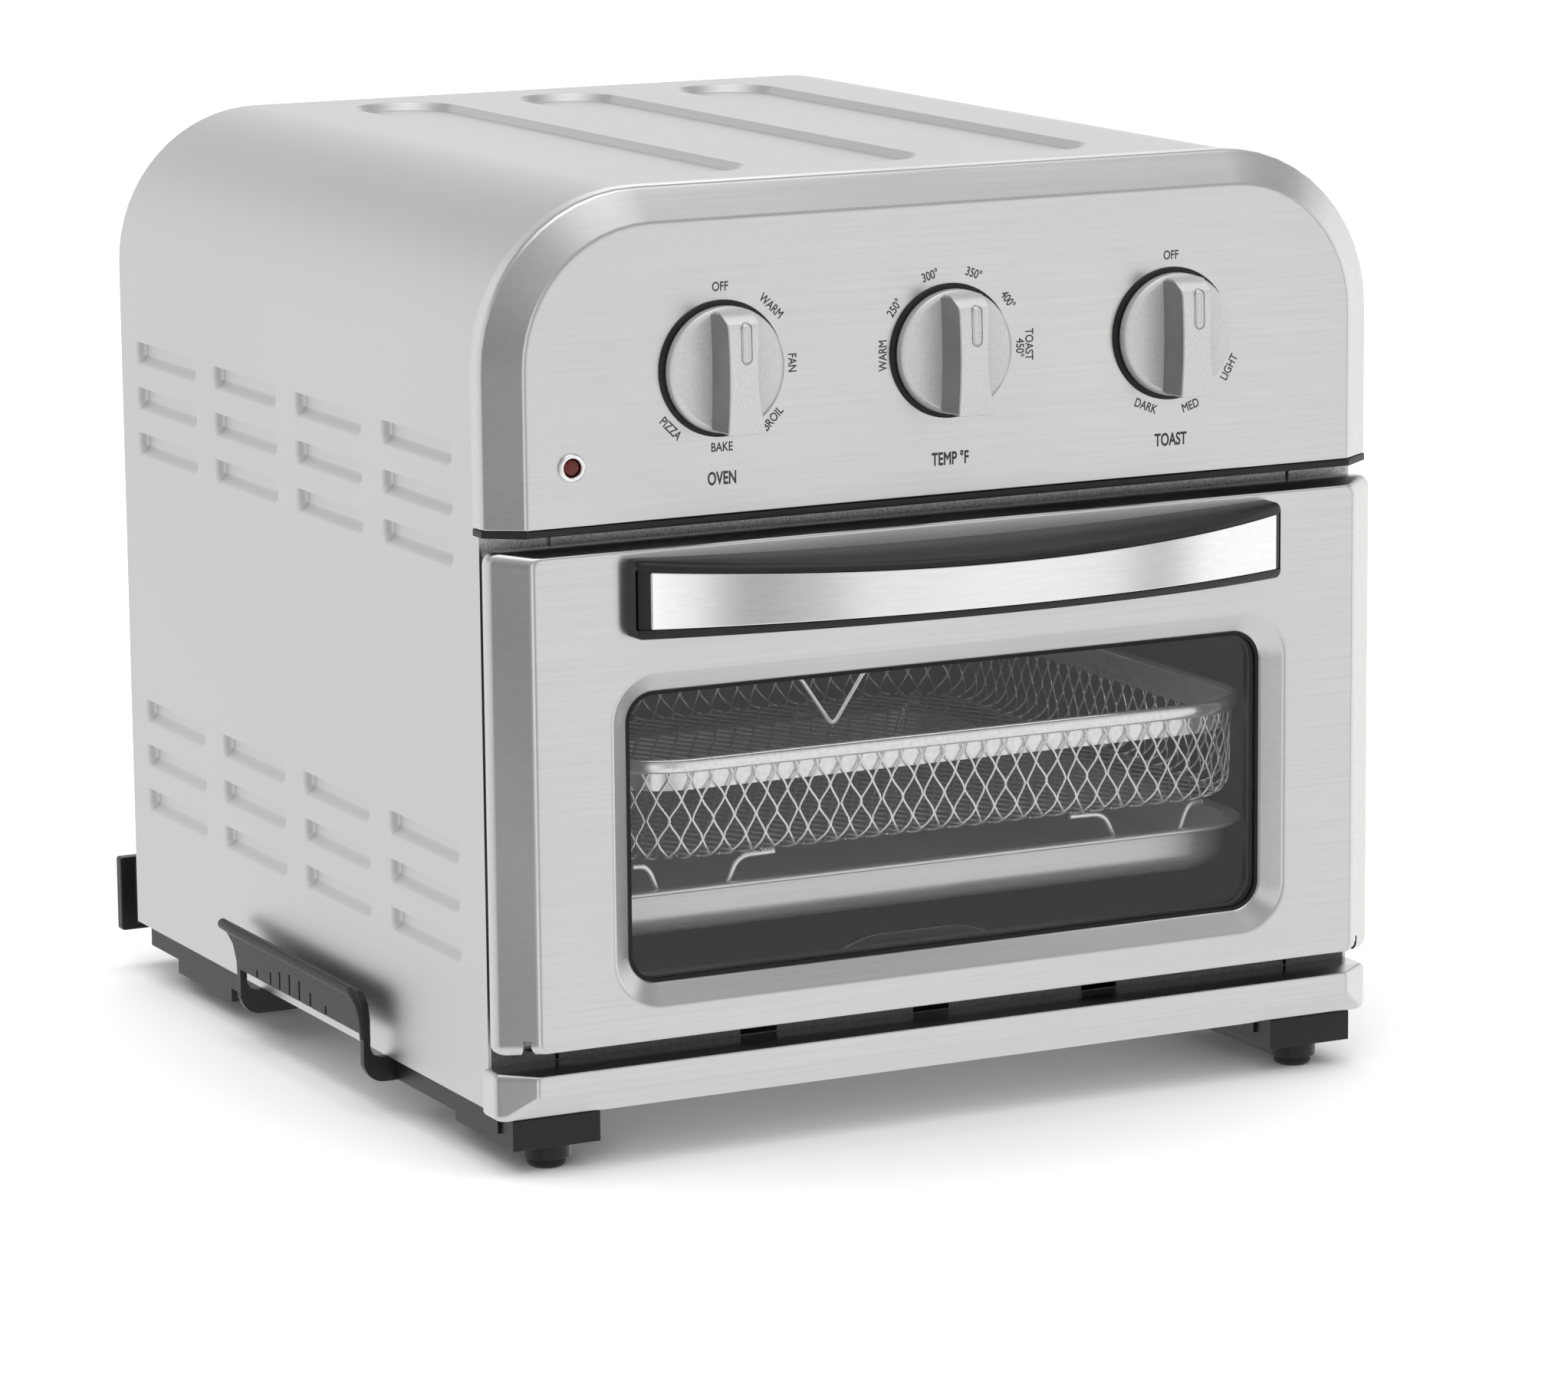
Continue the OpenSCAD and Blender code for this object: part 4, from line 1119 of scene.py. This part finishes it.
def build_basket_feet():
    low, high = FOOT_LO.z + 1.0, FOOT_HI.z
    middle = (FOOT_LO.x + FOOT_HI.x) / 2
    parts = []
    for side in (-1, 1):
        for y in (FOOT_LO.y + 1.2, FOOT_HI.y - 1.2):
            corners = [(54, high - 1), (67, high - 1.2), (75.8, low), (91.2, low),
                       (98.5, high - 1.2), (104, high - 1)]
            path = soften([(middle + side * x, y, z) for x, z in corners], 4.5, 6)
            parts.append(tube(path, 0.95, 8))
    feet = add_mesh("basket_wire_feet", *join_parts(parts))
    return dress(feet, "baking_set", "bright_wire", ["basket_feet"], crease=60)


def build_crumb_tray():
    half, y0, y1, floor = TRAY_HI.x, TRAY_LO.y, TRAY_HI.y, TRAY_LO.z
    lip, tab = floor + 3.4, TRAY_HI.z
    rows, hem = [], []
    for i in range(85):
        x = -half + 2 * half * i / 84
        crest = lip + (tab - lip) * ease((29 - abs(x)) / 16) ** 0.6
        section = [(y0 + 0.2, crest), (y0, crest - 0.5), (y0, floor + 1.2), (y0 + 0.5, floor + 0.3),
                   (y0 + 1.6, floor), (y1 - 1.2, floor), (y1, floor + 0.8), (y1, floor + 3)]
        rows.append([(x, y, z) for y, z in section])
        hem.append((x, y0 + 0.5, crest - 0.4))
    parts = [loft(rows, closed=False)]
    for side in (-1, 1):
        section = [(half - 1.0, floor), (half, floor + 0.8), (half, floor + 3)]
        walls = [[(side * x, y, z) for x, z in section] for y in (y0 + 0.4, (y0 + y1) / 2, y1 - 0.4)]
        parts.append(loft(walls, closed=False))
    tray = add_mesh("crumb_tray_sheet", *join_parts(parts))
    dress(tray, "crumb_tray", "cavity_steel", ["crumb_tray"], sheet=0.6, crease=40)
    # The hem along the front lip gets the bright pan steel while the tray is dark cavity steel: a painted
    # highlight on one sheet.
    edge = add_mesh("crumb_tray_hem_highlight", *tube(hem, 0.42, 8))
    return dress(edge, "crumb_tray", "pan_steel", crease=60)


def build_element_hanger():
    """The bent wire that hangs the front heater, with its V-shaped loop."""
    x, y, z = -20, 29, 124.3
    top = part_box("cavity_wrap")[1][2] / MM - 1
    corners = [(-33.9, top), (-33.9, z + 18), (-12, z + 17.6), (0, z),
               (12, z + 17.6), (33.9, z + 18), (33.9, top)]
    path = soften([(x + px, y, pz) for px, pz in corners], 3, 6)
    hanger = add_mesh("element_hanger_wire", *tube(path, 0.8, 8))
    return dress(hanger, "chassis", "bright_wire", ["element_hanger"], crease=60)


# ---------------------------------------------------------------- base rails and feet

GRIP_FRONT, GRIP_BACK = 81.0, 190.0
GRIP_OUT, GRIP_IN = 164.0, 161.6
GRIP_LOW = 27.4
GROOVES = [(112.5, 3.2), (125.5, 4.9), (135, 6.9), (143.5, 7.2), (152, 6.3), (160, 4.6), (172, 2.9)]
LEG = 3.0
RUNNER_LOW, RUNNER_HIGH = 12.0, 20.0


def grip_side():
    """The carrying grip seen from the side, in Y and Z: two legs, a grooved plate and a lip's tail."""
    front, back, low = GRIP_FRONT, GRIP_BACK, GRIP_LOW
    ring = [(front, 17), (front, 33), (front + 1.2, 37.4), (front + 4.4, 40.4), (front + 9, 41),
            (back + 13.5, 41), (back + 15.5, 40.4), (back + 15.5, 39.2), (back + 9, 38), (back + 3.4, 35),
            (back + 0.6, 30), (back, 24), (back, 17), (back - LEG, 17), (back - LEG, low)]
    for y, tall in reversed(GROOVES):
        ring += [(y + 0.5, low), (y + 0.5, low + tall), (y - 0.5, low + tall), (y - 0.5, low)]
    return ring + [(front + LEG, low), (front + LEG, 17)]


def grip_leg():
    """One leg seen from the front, in X and Z: it turns in under the shell with a round heel."""
    out, back = GRIP_OUT - 0.06, GRIP_IN + 0.06
    heel = [(out - 7 + 7 * math.cos(math.radians(a)), 18.5 + 7 * math.sin(math.radians(a)))
            for a in range(-90, 1, 15)]
    return [(119, 11.5), *heel, (out, GRIP_LOW), (back, GRIP_LOW), (back, 23), (160.4, 20.6), (158, 19.7),
            (119, 19.7)]


def build_base_rail(side, name):
    """The black moulding under one side: runner, foot blocks and the carrying grip."""
    parts = [block(121, 153, 0.5, GRIP_FRONT + 1, RUNNER_LOW, RUNNER_HIGH - 0.05, side),
             block(121, 153, GRIP_BACK - 1, 299, RUNNER_LOW, RUNNER_HIGH - 0.05, side),
             block(118, 121.5, GRIP_FRONT, GRIP_BACK, RUNNER_LOW, RUNNER_HIGH - 0.1, side),
             block(122, 152, -9, 36, 8.2, 18, side), block(122, 152, 226, 276, 6.5, 13, side)]
    for y0, y1 in ((1.2, 46), (242, 288)):
        ring = stadium(FOOT_X, (y0 + y1) / 2, 7.8, (y1 - y0) / 2)
        parts.append(prism(ring, 3.2, RUNNER_LOW + 0.2, lambda x, y, z: (side * x, y, z)))
    parts.append(prism(grip_side(), GRIP_IN, GRIP_OUT, lambda y, z, x: (side * x, y, z)))
    for y in (GRIP_FRONT, GRIP_BACK - LEG):
        parts.append(prism(grip_leg(), y + 0.06, y + LEG - 0.06, lambda x, z, along: (side * x, along, z)))
    rail = add_mesh(name + "_moulding", *join_parts(parts))
    dress(rail, "chassis", "black_plastic", [name], bevel=0.45, crease=40, segments=3)
    lip = soften([(side * 163.2, GRIP_BACK + 14.2, 39.9), (side * 163.6, GRIP_BACK + 2, 39.6),
                (side * 163.6, GRIP_FRONT + 8, 39.6), (side * 163.2, GRIP_FRONT + 2, 34.5),
                (side * 162.8, GRIP_FRONT + 1.6, 26)], 4, 6)
    bead = add_mesh(name + "_grip_lip", *tube(lip, 1.8, 12))
    return dress(bead, "chassis", "black_plastic", crease=60)


def build_foot_pads():
    """Turned rubber pads with a soft lower edge and a groove."""
    corners = [(0.01, 0), (5.2, 0), (6.2, 1.0), (6.2, 3.2), (2.55, 3.2), (2.55, 6.4), (0.01, 6.4)]
    rows = soften(corners, 0.5, 3)
    parts = []
    for x in (-FOOT_X, FOOT_X):
        for y in FOOT_YS:
            parts.append(loft([[(px, py, z) for px, py in circle(x, y, r)] for r, z in rows]))
    pads = add_mesh("foot_rubber_pads", *join_parts(parts))
    return dress(pads, "chassis", "rubber", ["foot_pads"], crease=50)


# ---------------------------------------------------------------- nodes kept from the frame

KEPT = {
    "galvanised_steel": ["rear_panel", "base_plate", "motor_bracket", "hinge_brackets", "hinge_blocks"],
    "frame_steel": ["front_frame"],
    "cavity_steel": ["cavity_wrap", "cavity_back", "rack_guides", "fan_guard", "door_inner_frame"],
    "heater_sheath": ["upper_heaters", "lower_heaters"],
    "insulator_ceramic": ["heater_insulators"],
    "fan_aluminium": ["hot_air_fan", "cooling_fan"],
    "shaft_steel": ["fan_shaft", "function_shaft", "temperature_shaft", "timer_shaft", "hinge_pins",
                    "rear_screws", "base_screws", "handle_screws"],
    "motor_iron": ["fan_motor"],
    "control_housing": ["function_switch", "thermostat", "toast_timer"],
    "bell_brass": ["timer_bell"],
    "wire_sleeve": ["internal_wires"],
    "lamp_glass": ["indicator_lamp"],
    "door_glass": ["door_glass"],
    "rubber": ["door_gasket"],
    "black_plastic": ["rear_spacers", "cord_gland"],
    "bright_wire": ["hinge_springs"],
}
ROUNDED = {"rear_spacers": 0.8, "cord_gland": 0.5,
           "rear_screws": 0.2, "motor_bracket": 0.3, "fan_motor": 0.8, "function_switch": 0.6,
           "thermostat": 0.6, "toast_timer": 0.6, "rack_guides": 0.3, "door_inner_frame": 0.5}


def keep_node(name, slot):
    """Gives a kept CAD node its material, and soft edges where they show."""
    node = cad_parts[name]
    node.data.materials.clear()
    node.data.materials.append(MATERIALS[slot])
    if name in ROUNDED:
        weld = node.modifiers.new("weld", "WELD")
        weld.merge_threshold = 0.01 * MM
        edge = node.modifiers.new("edges", "BEVEL")
        edge.width = ROUNDED[name] * MM
        edge.segments = 2
        edge.limit_method = "ANGLE"
        edge.angle_limit = math.radians(40)
        edge.harden_normals = True


# ---------------------------------------------------------------- stage, light and camera

def build_floor():
    mesh = bpy.data.meshes.new("floor")
    reach = 9
    corners = [(-reach, -reach, 0), (reach, -reach, 0), (reach, reach, 0), (-reach, reach, 0)]
    mesh.from_pydata(corners, [], [(0, 1, 2, 3)])
    floor = put_in_scene("floor", mesh)
    sweep = Surface("floor", grey(0.93), 0.0, 0.9)
    sweep.tint(sweep.noise((3, 3, 3), 2), grey(0.92), grey(0.94))
    mesh.materials.append(sweep.material)
    floor.visible_glossy = False


# Brightness by bearing and by elevation, in degrees.
ROUND_THE_HORIZON = [
    (-180, 1.25), (-150, 1.0), (-110, 0.95), (-80, 0.8), (-56, 0.3), (-42, 0.33), (-31, 1.3), (-24, 1.1),
    (-14, 0.4), (-4, 0.6), (6, 0.95), (30, 1.05), (46, 1.0), (57, 0.55), (68, 1.2), (100, 1.2), (135, 1.35),
    (165, 1.35), (180, 1.25)]
UP_THE_SKY = [(-90, 1.0), (-25, 1.0), (10, 1.0), (18, 0.6), (28, 0.45), (50, 0.55), (70, 1.5), (90, 2.2)]


def build_studio():
    """Soft studio light: panels and gaps round the horizon, and a bright ceiling panel."""
    world = bpy.data.worlds.new("studio")
    bpy.context.scene.world = world
    world.use_nodes = True
    tree = world.node_tree
    where = wire(tree, "TexCoord", "Generated")
    turned = wire(tree, "Mapping", "Vector", {"Vector": where, "Rotation": (0, 0, math.radians(90))})
    bearing = wire(tree, "TexGradient", "Fac", {"Vector": turned}, gradient_type="RADIAL")
    stops = [(0.5 + a / 360, grey(v)) for a, v in ROUND_THE_HORIZON]
    horizon = colour_ramp(tree, bearing, stops, "EASE")
    height = wire(tree, "SeparateXYZ", "Z", {"Vector": where})
    rise = wire(tree, "MapRange", "Result", {"Value": height, "From Min": -1})
    stops = [(0.5 + 0.5 * math.sin(math.radians(e)), grey(v)) for e, v in UP_THE_SKY]
    sky = colour_ramp(tree, rise, stops, "EASE")
    level = wire(tree, "Math", "Value", {0: height}, operation="ABSOLUTE")
    reach = {"Value": level, "From Min": 0.25, "From Max": 0.55}
    share = wire(tree, "MapRange", "Result", reach, interpolation_type="SMOOTHSTEP")
    blend = wire(tree, "Mix", 2, {"Factor": share, 6: horizon, 7: sky}, data_type="RGBA")
    tree.links.new(blend, tree.nodes["Background"].inputs["Color"])


def add_panel_light(name, place, aim, size, power, reflects=False):
    """A large soft light that points at a spot."""
    light = bpy.data.lights.new(name, "AREA")
    light.shape = "RECTANGLE"
    light.size, light.size_y = size
    light.energy = power
    lamp = put_in_scene(name, light)
    lamp.location = place
    lamp.rotation_mode = "QUATERNION"
    lamp.rotation_quaternion = (Vector(aim) - Vector(place)).to_track_quat("-Z", "Y")
    lamp.visible_glossy = reflects
    return lamp


def build_lights():
    """An overhead softness without fall-off, a panel at the front, and a fill inside the cavity."""
    sky = bpy.data.lights.new("overhead", "SUN")
    sky.energy = 1.5
    sky.angle = math.radians(75)
    overhead = put_in_scene("overhead", sky)
    overhead.rotation_mode = "QUATERNION"
    overhead.rotation_quaternion = Vector((0.12, 0.1, -1)).to_track_quat("-Z", "Y")
    overhead.visible_glossy = False
    add_panel_light("front_left_panel", (-1.3, -1.8, 1.0), (0, 0, 0.15), (0.9, 0.9), 9)
    lamp = add_panel_light("cavity_fill", point(0, 8, 189), point(0, 75, 80), (0.21, 0.02), 0.03, True)
    lamp.visible_camera = False


# Where the fitted camera stands, in millimetres, and how it is turned.
EYE = (-938.54, -1772.04, 521.88)
EYE_RIGHT = Vector((0.89345639, -0.44905339, -0.00931273))
EYE_UP = Vector((0.09212058, 0.16291503, 0.98233013))


def build_camera():
    """The eye stands to the left of the front and looks slightly down."""
    camera = bpy.data.cameras.new("camera")
    camera.sensor_width = 36
    camera.lens = 146.84
    camera.clip_start, camera.clip_end = 0.05, 60
    eye = put_in_scene("camera", camera)
    turn = Matrix((EYE_RIGHT, EYE_UP, EYE_RIGHT.cross(EYE_UP))).transposed().to_4x4()
    eye.matrix_world = Matrix.Translation(point(*EYE)) @ turn
    bpy.context.scene.camera = eye
    bpy.context.scene.view_settings.view_transform = "Standard"


# ---------------------------------------------------------------- the whole object

build_camera()
build_studio()
build_lights()
build_floor()
for kept_slot, names in KEPT.items():
    for kept_name in names:
        keep_node(kept_name, kept_slot)
build_outer_shell()
build_control_panel()
build_divider_strip()
build_lower_trim()
build_door_panel()
build_door_handle()
build_handle_plate()
build_knob_shade_rings()
for control_name in KNOB_X:
    build_knob(control_name)
    build_pointer_shade_line(control_name)
    build_knob_inlay(control_name)
    build_dial_marks(control_name)
build_indicator()
build_baking_pan()
build_basket_mesh()
build_basket_rim()
build_basket_feet()
build_crumb_tray()
build_element_hanger()
build_foot_pads()
build_base_rail(-1, "base_rail_left")
build_base_rail(1, "base_rail_right")
